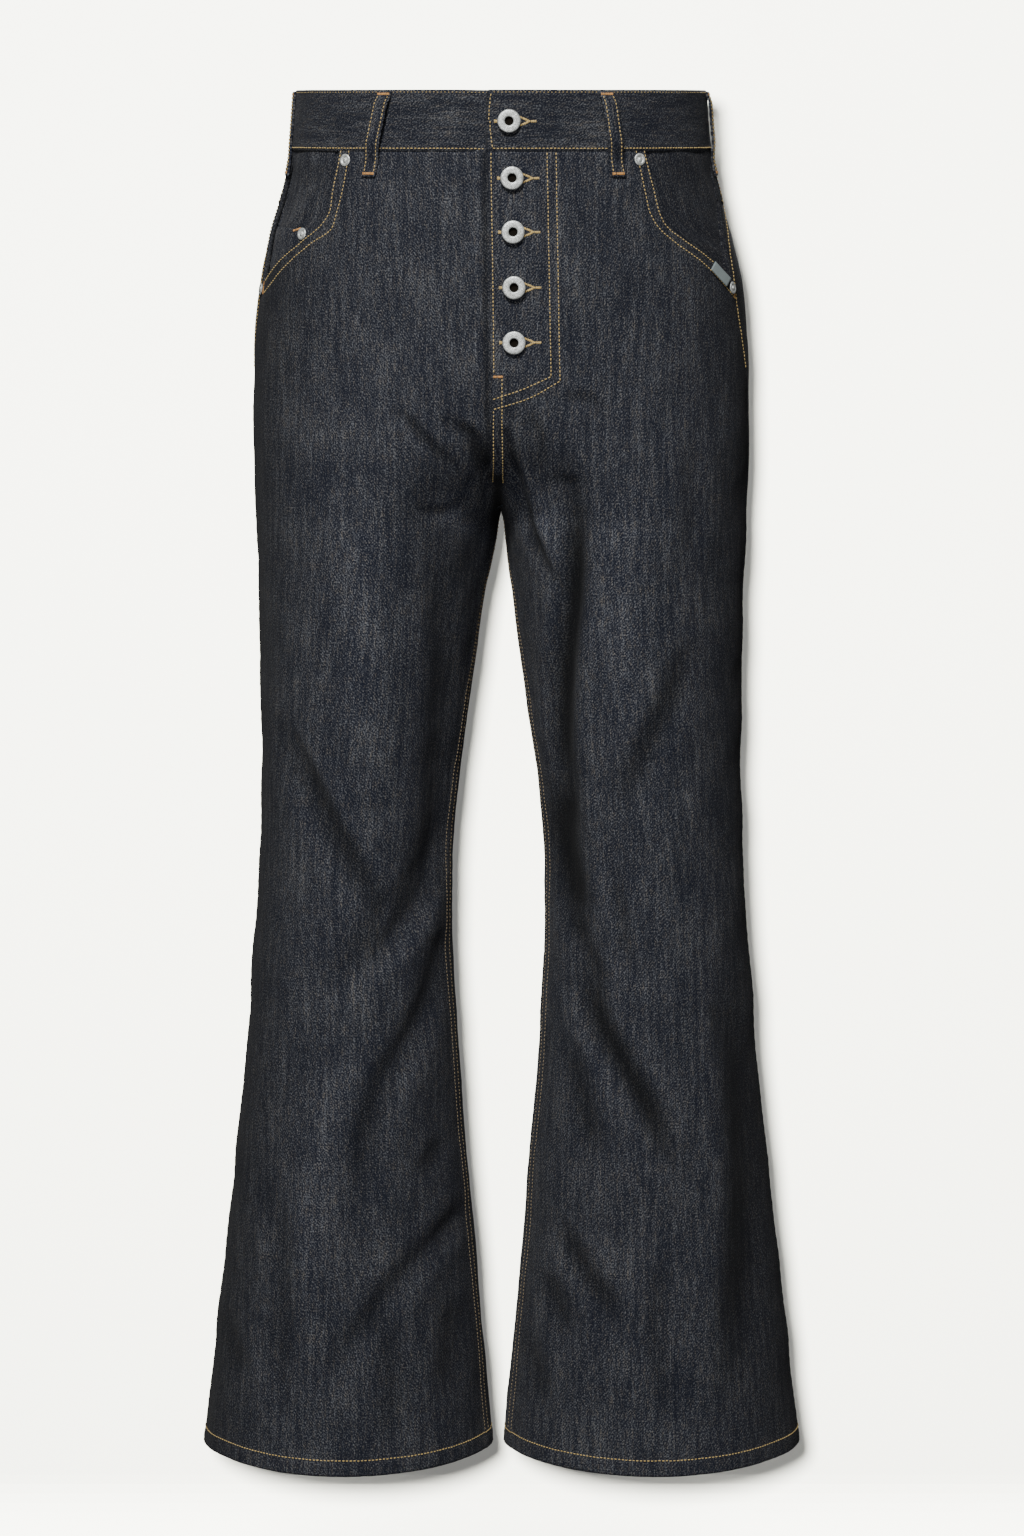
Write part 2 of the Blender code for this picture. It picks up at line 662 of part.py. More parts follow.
def make_tab():
    """A small bare tab of tape, caught over the edge of the viewer's right hip pocket."""
    def place(row, part):
        height = (TAB_TOP + (TAB_BOTTOM - TAB_TOP) * row - TAB_DROP * part) * MM
        across = (TAB_ACROSS + TAB_LEAN * row - TAB_SIDE * part) * MM
        return oval(height).turn_at(across), height, TAB_THICK + PATCH_GAP

    panel("pocket_tab", 1, level_rows(0, 1, TAB_ROWS), TAB_COLUMNS, place, TAB_GREY, TAB_THICK)


make_waistband()
make_underlap()
for side, word in ((-1, "left"), (1, "right")):
    make_front(side, f"front_{word}")
    make_back(side, f"back_{word}")
    make_yoke(side, f"yoke_{word}")
    make_facing(side, f"pocket_facing_{word}")
    make_back_pocket(side, f"back_pocket_{word}")
make_coin_pocket()
for loop in LOOPS:
    make_belt_loop(loop)
for number, stud in enumerate(BUTTONS, 1):
    make_button(number, stud)
for rivet in RIVETS:
    make_rivet(rivet)
make_tab()
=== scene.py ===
"""Bootcut jeans in raw indigo denim, filled out with no wearer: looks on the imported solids."""

import json
import math

import bpy
import numpy as np
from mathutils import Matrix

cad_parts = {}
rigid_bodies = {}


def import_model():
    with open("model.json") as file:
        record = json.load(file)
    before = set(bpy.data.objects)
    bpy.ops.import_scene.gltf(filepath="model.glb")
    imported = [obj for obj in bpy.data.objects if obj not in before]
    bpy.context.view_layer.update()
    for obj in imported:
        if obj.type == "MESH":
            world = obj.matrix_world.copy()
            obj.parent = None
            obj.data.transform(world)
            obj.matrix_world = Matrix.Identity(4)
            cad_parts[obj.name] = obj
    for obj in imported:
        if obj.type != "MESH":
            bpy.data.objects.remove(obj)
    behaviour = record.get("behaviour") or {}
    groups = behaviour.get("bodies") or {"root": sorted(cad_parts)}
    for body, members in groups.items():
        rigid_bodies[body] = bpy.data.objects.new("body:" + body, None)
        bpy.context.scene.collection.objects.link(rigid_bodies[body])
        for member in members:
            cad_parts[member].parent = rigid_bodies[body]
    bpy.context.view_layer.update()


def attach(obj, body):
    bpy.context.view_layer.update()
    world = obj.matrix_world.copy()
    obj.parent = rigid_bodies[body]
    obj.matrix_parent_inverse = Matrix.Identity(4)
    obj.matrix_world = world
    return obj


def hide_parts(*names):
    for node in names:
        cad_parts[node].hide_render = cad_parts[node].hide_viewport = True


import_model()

# ---- Front legs ----------------------------------------------------------------------------
# Two panels of raw denim, a dark indigo warp over a pale weft, each cut away at the hip in the
# scoop of its pocket.  The viewer's right one laps over the other along the fly.  They lie on
# the form of their solids, repeated here from its ovals, with the same folds and finer ones.
MM = 0.001
SIDES = ((-1, "left"), (1, "right"))
CLOTH, HEM_CLOTH = 1.1 * MM, 2.4 * MM
CROTCH, HEM = -303 * MM, -1044 * MM
HEM_DEPTH = 12 * MM
PANEL_TOP = -23.2 * MM
LEG_POINT, MERGE_WIDTH, MERGE_RUN = 1.18, 13 * MM, 70 * MM
WAIST_TILT, TILT_END, HEM_DIP, HEM_DIP_RUN = 0.016, -180 * MM, 3 * MM, 250 * MM
LEAN, LEAN_RUN = 2.4 * MM, 90 * MM
INSEAM_TURN, INSEAM_RUN = math.radians(8), 70 * MM
LEG = dict(zip("height outer inner front back seam_left seam_right".split(), np.array((
    (30, 157.5, -157.5, -104, 105, 5, 5), (0, 159.5, -159.5, -106, 107, 5, 5),
    (-24, 162, -162, -108, 110, 5, 5), (-55, 169.5, -168, -110, 116, 5, 7),
    (-90, 179.5, -176, -112, 123, 6, 15), (-130, 188.5, -178, -113, 130, 9, 18),
    (-170, 192, -160, -113, 134, 6, 15), (-200, 193, -128, -112, 135, 5, 12),
    (-231, 193.5, -84, -110, 132, 5, 9), (-257, 193, -46, -108, 127, 5, 7),
    (-279, 192.5, -18, -106, 121, 5, 6), (-293, 192, -5, -105, 117, 5, 6),
    (-303, 191.7, 0.8, -104, 114, 5, 6), (-318, 191.4, 4, -104, 110, 5, 5),
    (-346, 190.6, 8, -103, 104, 4, 5), (-400, 189, 15.4, -101, 96, 4, 4),
    (-450, 188.3, 22.8, -98, 88, 3, 3), (-500, 188, 29.2, -94, 81, 3, 3),
    (-550, 189.5, 34.8, -91, 75, 2, 2), (-600, 191.8, 36.6, -89, 71, 2, 2),
    (-650, 195.4, 35.4, -88, 70, 2, 2), (-720, 201, 31.6, -89, 73, 2, 2),
    (-800, 209.4, 25.6, -91, 79, 2, 2), (-900, 221, 17, -95, 88, 2, 2),
    (-985, 231, 9.4, -97, 94, 2, 2), (-1044, 238, 4.4, -98, 97, 2, 2)), float).T))
# Each row is one fold: its depth, how much shade is painted into its colour (below 0, painted light on a
# ridge), its half widths upward and downward, how fully it starts, from 0 to 1, and the places x, height that
# it runs through, in mm.
# Rows without a depth are painted light and shade alone: painted light round the crotch and down the left
# leg's inner side, painted shadow where the legs part and beside the fly's edge.
FOLDS = {"front": (
    (3.4, 0.30, 5, 5, 0, (-80, -214), (-57, -240), (-29, -270)),
    (5.0, 0.34, 6, 7, 0.3, (-41, -227), (-23, -237), (-13, -262), (-8, -297)),
    (1.4, 0.04, 5, 6, 0, (-70, -293), (-46, -297), (-20, -284)),
    (5.0, 0.16, 14, 12, 0, (-56, -316), (-47, -352), (-42, -404), (-44, -458), (-50, -501), (-50, -560)),
    (7.6, 0.08, 21, 16, 0.4, (-36, -500), (-44, -550), (-62, -593), (-95, -634), (-127, -664), (-159, -685)),
    (3.0, 0.10, 9, 9, 0, (-41, -576), (-59, -603), (-82, -631), (-109, -661)),
    (6.5, 0.34, 9, 15, 0.6, (-93, -599), (-104, -581), (-128, -540), (-150, -497), (-174, -448)),
    (7.0, 0.15, 14, 14, 0.6, (-42, -640), (-55, -678), (-71, -711), (-87, -736), (-100, -775),
     (-108, -821), (-119, -868)),
    (5.0, 0.12, 13, 12, 0.8, (-34, -856), (-63, -880), (-84, -902), (-103, -927), (-123, -955), (-145, -989)),
    (2.5, 0.22, 10, 10, 0, (-45, -788), (-55, -803), (-63, -819)),
    (3.5, 0.22, 13, 14, 0, (-31, -911), (-39, -956), (-43, -1005)),
    (2.5, 0.25, 11, 11, 0, (-220, -925), (-212, -955), (-205, -984)),
    (4.2, 0.34, 5, 6, 0.5, (4, -236), (9.5, -262), (16, -293), (24.5, -320), (37, -343), (52, -366)),
    # A ridge whose colour carries a painted highlight.
    (-1.7, -0.16, 6, 6, 0, (14, -240), (20, -268), (28, -298), (39, -325), (54, -350)),
    (1.2, 0.10, 5, 6, 0, (33, -272), (51, -273), (69, -273)),
    (2.0, 0.20, 6, 6, 0, (18, -218), (30, -240), (30, -270)),
    (2.0, 0.20, 5, 6, 0, (42, -209), (66, -209), (86, -227)),
    (8.5, 0.56, 10, 11, 0.1, (48, -250), (54, -295), (55, -333), (52, -371), (48, -411), (46, -458),
     (50, -505), (61, -547), (81, -576)),
    (7.0, 0.55, 14, 14, 0, (43, -499), (46, -546), (57, -599), (70, -640)),
    (7.0, 0.42, 13, 12, 0.2, (60, -630), (67, -656), (75, -694), (94, -726), (115, -760), (128, -790),
     (154, -826)),
    (2.4, 0.20, 7, 7, 0, (84, -564), (91, -599), (97, -634), (109, -665)),
    (2.0, 0.18, 8, 8, 0, (46, -602), (65, -633), (83, -674)),
    (3.5, 0.32, 13, 13, 0, (148, -384), (133, -430), (115, -468), (97, -506), (84, -544)),
    (2.0, 0.12, 10, 10, 0, (144, -227), (146, -302), (141, -363)),
    (6.0, 0.42, 18, 20, 0, (176, -640), (189, -743), (193, -822), (188, -905), (184, -966), (180, -1040)),
    (1.5, 0.15, 6, 6, 0, (163, -676), (168, -692), (172, -708)),
    (3.5, 0.30, 11, 11, 0, (46, -845), (52, -865), (69, -894), (84, -914), (92, -937)),
    (2.5, 0.22, 11, 11, 0, (36, -890), (40, -908), (46, -928), (51, -948)),
    (2.5, 0.24, 12, 12, 0, (54, -700), (57, -725), (66, -770), (74, -816)),
    (2.5, 0.20, 11, 11, 0, (18, -940), (23, -961), (29, -987), (34, -1012)),
    (2.0, 0.16, 12, 12, 0, (-185, -800), (-168, -880), (-172, -960), (-160, -1030)),
    (2.0, 0.16, 14, 12, 0, (-100, -905), (-84, -975), (-92, -1040)),
    (2.0, 0.16, 11, 12, 0, (128, -860), (120, -930), (132, -1020)),
    # Painted light across the crotch and down the left leg's inner side, painted shadow where the legs part
    # and beside the fly's edge.
    (0.0, -0.75, 22, 22, 1, (-24, -295), (0, -283), (22, -291), (56, -309)),
    (0.0, -0.50, 10, 10, 1, (-8, -318), (-14, -380), (-24, -450), (-32, -520), (-38, -600)),
    (0.0, 1.30, 6, 7, 1, (-2, -272), (-2, -288), (-2, -305), (-2, -330)),
    (0.0, 0.30, 4, 4, 1, (-12.2, 10), (-11.4, -135), (-10.4, -205), (-8, -300), (-6, -420)),
    # Painted highlights along three broad ridges.
    (-2.5, -0.10, 26, 26, 0, (-110, -250), (-104, -360), (-98, -470), (-92, -560)),
    (-2.5, -0.12, 24, 24, 0, (96, -250), (92, -340), (90, -430), (100, -520)),
    (-2.5, -0.10, 22, 22, 0, (-96, -690), (-132, -760), (-150, -860), (-160, -960)),
), "back": (
    (5.0, 0.20, 12, 13, 0.6, (-28, -288), (-70, -310), (-120, -330)),
    (4.0, 0.25, 12, 13, 0, (-60, -360), (-57, -430), (-66, -520)),
    (6.5, 0.20, 13, 15, 0.6, (-52, -575), (-112, -601), (-168, -596)),
    (6.0, 0.20, 14, 15, 0.6, (-60, -660), (-120, -705), (-176, -715)),
    (4.5, 0.25, 13, 14, 0.4, (-60, -770), (-92, -862), (-150, -930)),
    (4.5, 0.20, 12, 13, 0.6, (26, -284), (64, -312), (112, -326)),
    (4.0, 0.25, 13, 14, 0, (58, -350), (63, -440), (60, -530)),
    (6.5, 0.20, 13, 15, 0.6, (50, -590), (106, -619), (164, -610)),
    (5.5, 0.20, 13, 14, 0.6, (66, -640), (119, -682), (180, -704)),
    (4.5, 0.25, 14, 15, 0.4, (52, -800), (97, -882), (160, -930)),
    (1.8, 0.15, 7, 7, 0, (-96, -420), (-120, -470), (-150, -500)),
    (1.8, 0.15, 7, 7, 0, (90, -400), (118, -450), (152, -470)),
    (2.0, 0.15, 8, 8, 0, (-40, -620), (-70, -648), (-104, -655)),
    (2.0, 0.15, 8, 8, 0, (38, -700), (72, -742), (110, -760)),
    (1.6, 0.15, 9, 9, 0, (-190, -820), (-196, -900), (-205, -990)),
    (1.6, 0.15, 9, 9, 0, (188, -760), (198, -860), (206, -960)),
)}
LIT_SIDE = (-0.2, 0.98)
FOLD_STEP = 4.0
FOLD_FADE = (0.12, 0.55)
# Each row of swells in the cloth: their length and depth in mm and how many are added up.
SWELLS = ((70, 0.5, 9), (32, 0.22, 12), (15, 0.1, 14))
SWELL_START = (-10 * MM, -90 * MM)
# The painted shading mask on flat cloth, its painted shade at each side seam, and how much painted shade
# darkens the legs low down.
FLAT_SHADE_PAINT, SIDE_SHADE_PAINT, LOW_SHADE_PAINT = 0.5, {-1: 0.11, 1: 0.17}, 0.07
KNEE, SHIN = -480 * MM, -850 * MM
POCKET_EDGE = dict(zip("height left right".split(), np.array((
    (-22, 122, 109.3), (-35, 124.4, 112.2), (-52, 128.3, 116.7), (-68, 131.8, 121),
    (-74, 134, 123.4), (-80, 139.5, 128), (-92, 152.8, 142.6), (-107, 169.5, 162.8),
    (-126, 186.2, 178)), float).T))
POCKET_END = -127 * MM
FLY_EDGE = dict(zip("height across".split(), np.array((
    (30, -9.8), (-25, -9.2), (-135, -7.6), (-210, -6.8), (-245, -5.4), (-269, -2), (-283, 0),
    (-303, 0)), float).T))
FLY_END, FLY_BLEND, FLY_FADE = -212 * MM, 20 * MM, 48 * MM
FLY_RAISE, FLY_DROP = 0.6 * MM, -0.5 * MM
FELL_RAISE, FELL_ROW, FELL_EDGE, FELL_RUN = 0.7 * MM, 9 * MM, (14.5 * MM, 17.5 * MM), 30 * MM
HEM_RAISE, HEM_PINCH, HEM_TWIST, TWIST_SIZE = 0.35 * MM, 0.3 * MM, 0.12 * MM, 9 * MM


def ease(value, start, end):
    """0 at start, 1 at end, with a soft beginning and finish."""
    part = np.clip((value - start) / (end - start), 0, 1)
    return part * part * (3 - 2 * part)


def between(t, size, i, values, slope):
    """The smooth curve from value i to the next, a part t of the way, over a step of some size."""
    return ((2 * t ** 3 - 3 * t ** 2 + 1) * values[i] + (t ** 3 - 2 * t ** 2 + t) * size * slope[i]
            + (3 * t ** 2 - 2 * t ** 3) * values[i + 1] + (t ** 3 - t ** 2) * size * slope[i + 1])


def follow(table, column, height):
    """The smooth curve through one column of a table, as the solids have it."""
    levels, values = table["height"][::-1], table[column][::-1]
    ends = np.diff(values) / np.diff(levels)
    inner = (values[2:] - values[:-2]) / (levels[2:] - levels[:-2])
    slope = np.concatenate((ends[:1], inner, ends[-1:]))
    at = np.clip(np.asarray(height) / MM, levels[0], levels[-1])
    i = np.clip(np.searchsorted(levels, at) - 1, 0, len(levels) - 2)
    step = levels[i + 1] - levels[i]
    return between((at - levels[i]) / step, step, i, values, slope)


def form(height):
    """Middle and half sizes of a leg's oval at a height, how pointed it is and how it merges."""
    outer, inner, front, back = (
        follow(LEG, name, height) * MM for name in ("outer", "inner", "front", "back"))
    merging = ease(height, CROTCH, CROTCH + MERGE_RUN)
    return ((outer + inner) / 2, (outer - inner) / 2, (front + back) / 2, (back - front) / 2,
            LEG_POINT - (LEG_POINT - 1) * merging, MERGE_WIDTH * merging)


def skin(side, turn, height):
    """The plain form.  The turn is 0 at the inseam, a quarter in front, a half outside."""
    mid_x, half_x, mid_y, half_y, power, merge = form(height)
    across = mid_x - half_x * np.cos(turn)
    distance = np.abs(across) + merge * np.exp(-np.abs(across) / np.maximum(merge, 1e-9))
    cosine = np.clip((mid_x - distance) / half_x, -1, 1)
    depth = half_y * (1 - cosine ** 2) ** (power / 2)
    y = mid_y - np.copysign(depth, np.sin(turn))
    tilt = WAIST_TILT * y * ease(height, TILT_END, 0)
    dip = HEM_DIP * (depth / half_y) ** 2 * ease(height, HEM + HEM_DIP_RUN, HEM)
    lean = LEAN * (1 + np.cos(turn)) / 2 * ease(height, CROTCH, CROTCH - LEAN_RUN)
    return np.stack((side * across - lean, y, height + tilt - dip + 0 * across), -1)


def turn_at(across, height):
    """The turn of a place on a front, by its distance from the centre line."""
    mid_x, half_x = form(height)[:2]
    return np.arccos(np.clip((mid_x - across) / half_x, -1, 1))


def run_along(line):
    """The distance along a line of points from its start to each of them."""
    return np.concatenate(((0,), np.linalg.norm(np.diff(line, axis=0), axis=1).cumsum()))


def smooth(places, step=1.2):
    """A smooth open line through a few places, as close points about a step apart."""
    places = np.array(places, float)
    run = run_along(places)
    slope = np.gradient(places, run, axis=0) if len(places) > 2 else np.repeat(
        np.diff(places, axis=0) / run[-1], 2, axis=0)
    at = np.linspace(0, run[-1], max(int(run[-1] / step) + 1, 3))
    i = np.clip(np.searchsorted(run, at) - 1, 0, len(run) - 2)
    size = (run[i + 1] - run[i])[:, None]
    return between((at - run[i])[:, None] / size, size, i, places, slope)


def face_creases(face, x, z, painted):
    """How far the folds of one face sink the cloth in mm, or how much shade and light they paint into its
    colour.
    """
    total = np.zeros_like(x)
    for depth, crease_shade, lit, shaded, full, *places in FOLDS[face]:
        line = smooth(places, FOLD_STEP)
        along = np.gradient(line, axis=0)
        along /= np.linalg.norm(along, axis=1)[:, None]
        across = np.stack((-along[:, 1], along[:, 0]), 1)
        across *= np.where(across @ LIT_SIDE < 0, -1, 1)[:, None]
        whole = FOLD_STEP * (len(line) - 1)
        reach = 3 * max(lit, shaded)
        close = ((x > line[:, 0].min() - reach) & (x < line[:, 0].max() + reach)
                 & (z > line[:, 1].min() - reach) & (z < line[:, 1].max() + reach))
        if not close.any():
            continue
        offset = np.stack((x[close], z[close]), 1)
        nearest = ((offset[:, None] - line) ** 2).sum(-1).argmin(1)
        offset -= line[nearest]
        past = (offset * along[nearest]).sum(1)
        aside = (offset * across[nearest]).sum(1)
        t = (nearest * FOLD_STEP + past) / whole
        beyond = (np.maximum(-t, 0) + np.maximum(t - 1, 0)) * whole
        taper = (full + (1 - full) * ease(t, 0, 0.3)) * ease(1 - t, 0, 0.4)
        away = (aside ** 2 + beyond ** 2) / np.where(aside > 0, lit, shaded) ** 2
        total[close] += (crease_shade if painted else depth) * taper * (1 - 0.7 * away) * np.exp(-away / 1.25)
    return total


def creases(here, mid_y, painted=False):
    """The folds' depth, or their painted shade and light, at points of the plain form, each by the face that
    it lies on.
    """
    x, z = here[..., 0] / MM, here[..., 2] / MM
    return np.where(here[..., 1] < mid_y, face_creases("front", x, z, painted), face_creases("back", x, z, painted))


def crumple(x, y, z):
    """The slight unevenness of stiff new cloth: long low swells with shorter ones between."""
    random = np.random.default_rng(7)
    total = np.zeros_like(x)
    for size, depth, count in SWELLS:
        for _ in range(count):
            way = random.normal(size=3) * (1, 0.7, 0.55)
            way *= 2 * np.pi / (size * MM * np.linalg.norm(way))
            phase = way[0] * x + way[1] * y + way[2] * z + random.uniform(0, 6.28)
            total += depth / math.sqrt(count) * np.sin(phase)
    return total * MM


def cloth(side, turn, height, lift=0.0):
    """Points on the folded form moved out by a lift, and their outward directions."""
    turn, height, lift = np.broadcast_arrays(*(np.asarray(v, float) for v in (turn, height, lift)))
    here = skin(side, turn, height)
    around = skin(side, turn + 0.004, height) - skin(side, turn - 0.004, height)
    down = skin(side, turn, height - MM) - skin(side, turn, height + MM)
    outward = np.cross(down, around) * side
    outward /= np.linalg.norm(outward, axis=-1, keepdims=True)
    x, y, z = np.moveaxis(here, -1, 0)
    mid_y, half_y = form(height)[2:4]
    sunk = creases(here, mid_y) * MM * ease(np.abs(y - mid_y) / half_y, *FOLD_FADE)
    sunk = sunk + crumple(x, y, z) * ease(z, *SWELL_START)
    return here + outward * (lift - sunk)[..., None], outward


def painted_shading(side, turn, height):
    """The painted shading mask: 0 for painted shade down in the folds and along the sides, 1 for painted
    light on the legs' middles.
    """
    here = skin(side, turn, height)
    mid_y, half_y = form(height)[2:4]
    # Painted shade in the folds and over the lower legs.
    crease_shade = creases(here, mid_y, True) + LOW_SHADE_PAINT * ease(here[..., 2], KNEE, SHIN)
    lit_middle = np.abs(here[..., 1] - mid_y) / half_y
    # Painted shade darkens each leg towards its sides, away from the middle of its front and back.
    lit_middle = np.where(np.cos(turn) < 0, ease(lit_middle, 0, 0.9), 0.6 + 0.4 * ease(lit_middle, 0, 0.6))
    seam = SIDE_SHADE_PAINT[side]
    return np.clip(seam + (FLAT_SHADE_PAINT - seam - crease_shade) * lit_middle, 0, 1)


def spread(side, height, first, last, near, count, grain):
    """A panel's grid: turns from seam to seam, closer beside them, and widths from its grain line."""
    part = np.linspace(0, 1, 241)
    turns = first[:, None] + (last - first)[:, None] * part
    run = np.linalg.norm(np.diff(skin(side, turns, height[:, None]), axis=1), axis=-1).cumsum(1)
    run = np.hstack((np.zeros((len(run), 1)), run))
    near = np.array(near) * MM
    turn, width = [], []
    for i, whole in enumerate(run[:, -1]):
        middle = np.linspace(near[-1], whole - near[-1], count)[1:-1]
        place = np.concatenate((near, middle, whole - near[::-1]))
        turn.append(np.interp(place, run[i], turns[i]))
        width.append(place - np.interp(grain[i], turns[i], run[i]))
    return np.array(turn), np.array(width)


def shell(name, outer, outward, thick, uv, finishes, rim=0.45, shade_paint=0.5):
    """A closed sheet of cloth from a grid of points, with rounded edges and a finish for its back."""
    rows, columns = outer.shape[:2]
    thick = np.broadcast_to(np.asarray(thick, float), (rows, columns))
    inner = outer - outward * thick[..., None]
    # A ring of points runs round the edge, half way between the two faces and a little outside.
    around = [(0, j) for j in range(columns)] + [(i, columns - 1) for i in range(1, rows)]
    around += [(rows - 1, j) for j in range(columns - 2, -1, -1)] + [(i, 0) for i in range(rows - 2, 0, -1)]
    i, j = np.array(around).T
    i_in, j_in = np.clip(i, 1, rows - 2), np.clip(j, 1, columns - 2)
    aside = outer[i, j] - outer[i_in, j_in]
    aside /= np.maximum(np.linalg.norm(aside, axis=-1, keepdims=True), 1e-9)
    edge = (outer[i, j] + inner[i, j]) / 2 + aside * thick[i, j][:, None] * rim
    points = np.concatenate((outer.reshape(-1, 3), inner.reshape(-1, 3), edge))
    # The outer face, the same face turned round for the back, and two bands round the edge.
    number = np.arange(rows * columns).reshape(rows, columns)
    face = np.stack((number[:-1, :-1], number[:-1, 1:], number[1:, 1:], number[1:, :-1]), -1).reshape(-1, 4)
    ring, size = number[i, j], rows * columns
    after, mid = np.roll(ring, -1), 2 * size + np.arange(len(ring))
    mid_after = np.roll(mid, -1)
    bands = np.concatenate((np.stack((ring, mid, mid_after, after), -1),
                            np.stack((mid, ring + size, after + size, mid_after), -1)))
    a, b, c = (outer.reshape(-1, 3)[face[len(face) // 2, k]] for k in range(3))
    turned = np.cross(b - a, c - a) @ outward.reshape(-1, 3)[face[len(face) // 2, 0]] < 0
    faces = np.concatenate((face, face[:, ::-1] + size, bands))
    if turned:
        faces = faces[:, ::-1]
    uv = np.stack(np.broadcast_arrays(*uv), -1)
    flat = uv.reshape(-1, 2)
    back = np.zeros(len(faces), int)
    back[len(face):2 * len(face)] = 1
    # The painted shading mask goes to both faces and the edge.
    shade_paint = np.broadcast_to(shade_paint, (rows, columns))
    return mesh_piece(name, points, faces, finishes, np.concatenate((flat, flat, uv[i, j])), back,
                      np.concatenate((shade_paint.ravel(), shade_paint.ravel(), shade_paint[i, j])))


def put(name, data):
    """A new object in the scene."""
    made = bpy.data.objects.new(name, data)
    bpy.context.scene.collection.objects.link(made)
    return made


def mesh_piece(name, points, faces, finishes, uv=None, slots=None, shade_paint=None):
    """One smooth mesh object that rides on the frame's only body."""
    mesh = bpy.data.meshes.new(name)
    mesh.from_pydata(points.tolist(), [], faces.tolist() if hasattr(faces, "tolist") else faces)
    for finish in finishes:
        mesh.materials.append(finish)
    mesh.polygons.foreach_set("use_smooth", [True] * len(mesh.polygons))
    if slots is not None:
        mesh.polygons.foreach_set("material_index", np.asarray(slots, int))
    if uv is not None:
        corner = np.empty(len(mesh.loops), int)
        mesh.loops.foreach_get("vertex_index", corner)
        mesh.uv_layers.new(name="cloth").data.foreach_set("uv", (np.asarray(uv)[corner] / MM).ravel())
        # The second set of coordinates carries the painted shading mask, 0.5 where none is painted.
        shade_paint = np.full(len(mesh.vertices), 0.5) if shade_paint is None else shade_paint
        mesh.uv_layers.new(name="shade_paint").data.foreach_set("uv", np.repeat(shade_paint[corner], 2))
    mesh.update()
    piece = put(name, mesh)
    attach(piece, "root")
    return piece


def node(tree, kind, inputs=None, **settings):
    """One shader node, with its settings and its inputs, which are values or other sockets."""
    made = tree.nodes.new("ShaderNode" + kind)
    for key, value in settings.items():
        setattr(made, key, value)
    for key, value in (inputs or {}).items():
        if isinstance(value, bpy.types.NodeSocket):
            tree.links.new(value, made.inputs[key])
        else:
            made.inputs[key].default_value = value
    return made


def calc(tree, operation, *values):
    return node(tree, "Math", dict(enumerate(values)), operation=operation).outputs[0]


def wire(tree, inputs, **sources):
    """Links sockets to a node's inputs by their labels."""
    for label, socket in sources.items():
        tree.links.new(socket, inputs[label.replace("_", " ")])


def risen(tree, value, low, high):
    """0 up to the low value, 1 from the high one on."""
    return node(tree, "MapRange", {0: value, 1: low, 2: high, 3: 0.0, 4: 1.0}).outputs[0]


def group(name, inputs, outputs):
    """An empty node group, its named inputs a (name, kind, default) each and its outputs a (name, kind)."""
    tree = bpy.data.node_groups.new(name, "ShaderNodeTree")
    for label, kind, value in inputs:
        socket = tree.interface.new_socket(label, in_out="INPUT", socket_type="NodeSocket" + kind)
        socket.default_value = value
    for label, kind in outputs:
        tree.interface.new_socket(label, in_out="OUTPUT", socket_type="NodeSocket" + kind)
    return tree, tree.nodes.new("NodeGroupInput").outputs, tree.nodes.new("NodeGroupOutput").inputs


def principled(name, **values):
    """A material whose constant values sit on its own shader."""
    made = bpy.data.materials.new(name)
    made.use_nodes = True
    shader = made.node_tree.nodes["Principled BSDF"]
    for key, value in values.items():
        shader.inputs[key.replace("_", " ")].default_value = value
    return made, made.node_tree, shader


# Denim: slubby warp yarns run down the cloth, and the weft shows between them as pale flecks
# on a broken twill line.  The cloth's own widths and heights in millimetres place them.
weave, given, result = group("denim_weave", (
    ("Cloth", "Vector", (0, 0, 0)), ("Warp", "Color", (0.012, 0.014, 0.022, 1)),
    ("Weft", "Color", (0.12, 0.12, 0.125, 1)), ("Fleck", "Float", 1.0), ("Rub", "Float", 0.5)),
    (("Color", "Color"), ("Height", "Float"), ("Roughness", "Float")))


def stretched(scale_x, scale_y, detail, rough, shift=0.0):
    """Noise over the cloth, by how fine it is across and along the warp."""
    moved = node(weave, "VectorMath", {0: given["Cloth"], 1: (scale_x, scale_y, 1)}, operation="MULTIPLY")
    return node(weave, "TexNoise", {"Vector": moved.outputs[0], "Scale": 1.0, "Detail": detail, "W": shift,
                                    "Roughness": rough}, noise_dimensions="4D").outputs[0]


grain = stretched(0.95, 0.75, 2.0, 0.7)
yarn = stretched(0.7, 0.09, 2.0, 0.6, 3.0)
slub = stretched(0.2, 0.02, 1.0, 0.5, 9.0)
cloud = stretched(0.03, 0.02, 2.0, 0.5, 15.0)
wander = stretched(0.09, 0.06, 1.0, 0.5, 21.0)
parts = node(weave, "SeparateXYZ", {0: given["Cloth"]}).outputs
slant = calc(weave, "ADD", calc(weave, "MULTIPLY", parts[0], 2.7), calc(weave, "MULTIPLY", parts[1], -2.2))
slant = calc(weave, "ADD", slant, calc(weave, "MULTIPLY", wander, 26.0))
twill = calc(weave, "SINE", slant)
light = 0.37
for noise, strength in ((grain, 4.1), (yarn, 1.1), (slub, 0.75), (cloud, 0.55)):
    light = calc(weave, "MULTIPLY_ADD", calc(weave, "SUBTRACT", noise, 0.5), strength, light)
light = calc(weave, "MULTIPLY_ADD", twill, 0.13, light)
light = node(weave, "Clamp", {0: light}).outputs[0]
fleck = risen(weave, stretched(0.8, 0.5, 0.0, 0.5, 31.0), 0.66, 0.78)
fleck = calc(weave, "MULTIPLY", fleck, calc(weave, "MULTIPLY", given["Fleck"], 0.4))
share = calc(weave, "ADD", calc(weave, "POWER", light, 2.2), fleck)
warm = node(weave, "VectorMath", {0: given["Weft"], 1: (1.2, 1.03, 0.80)}, operation="MULTIPLY").outputs[0]
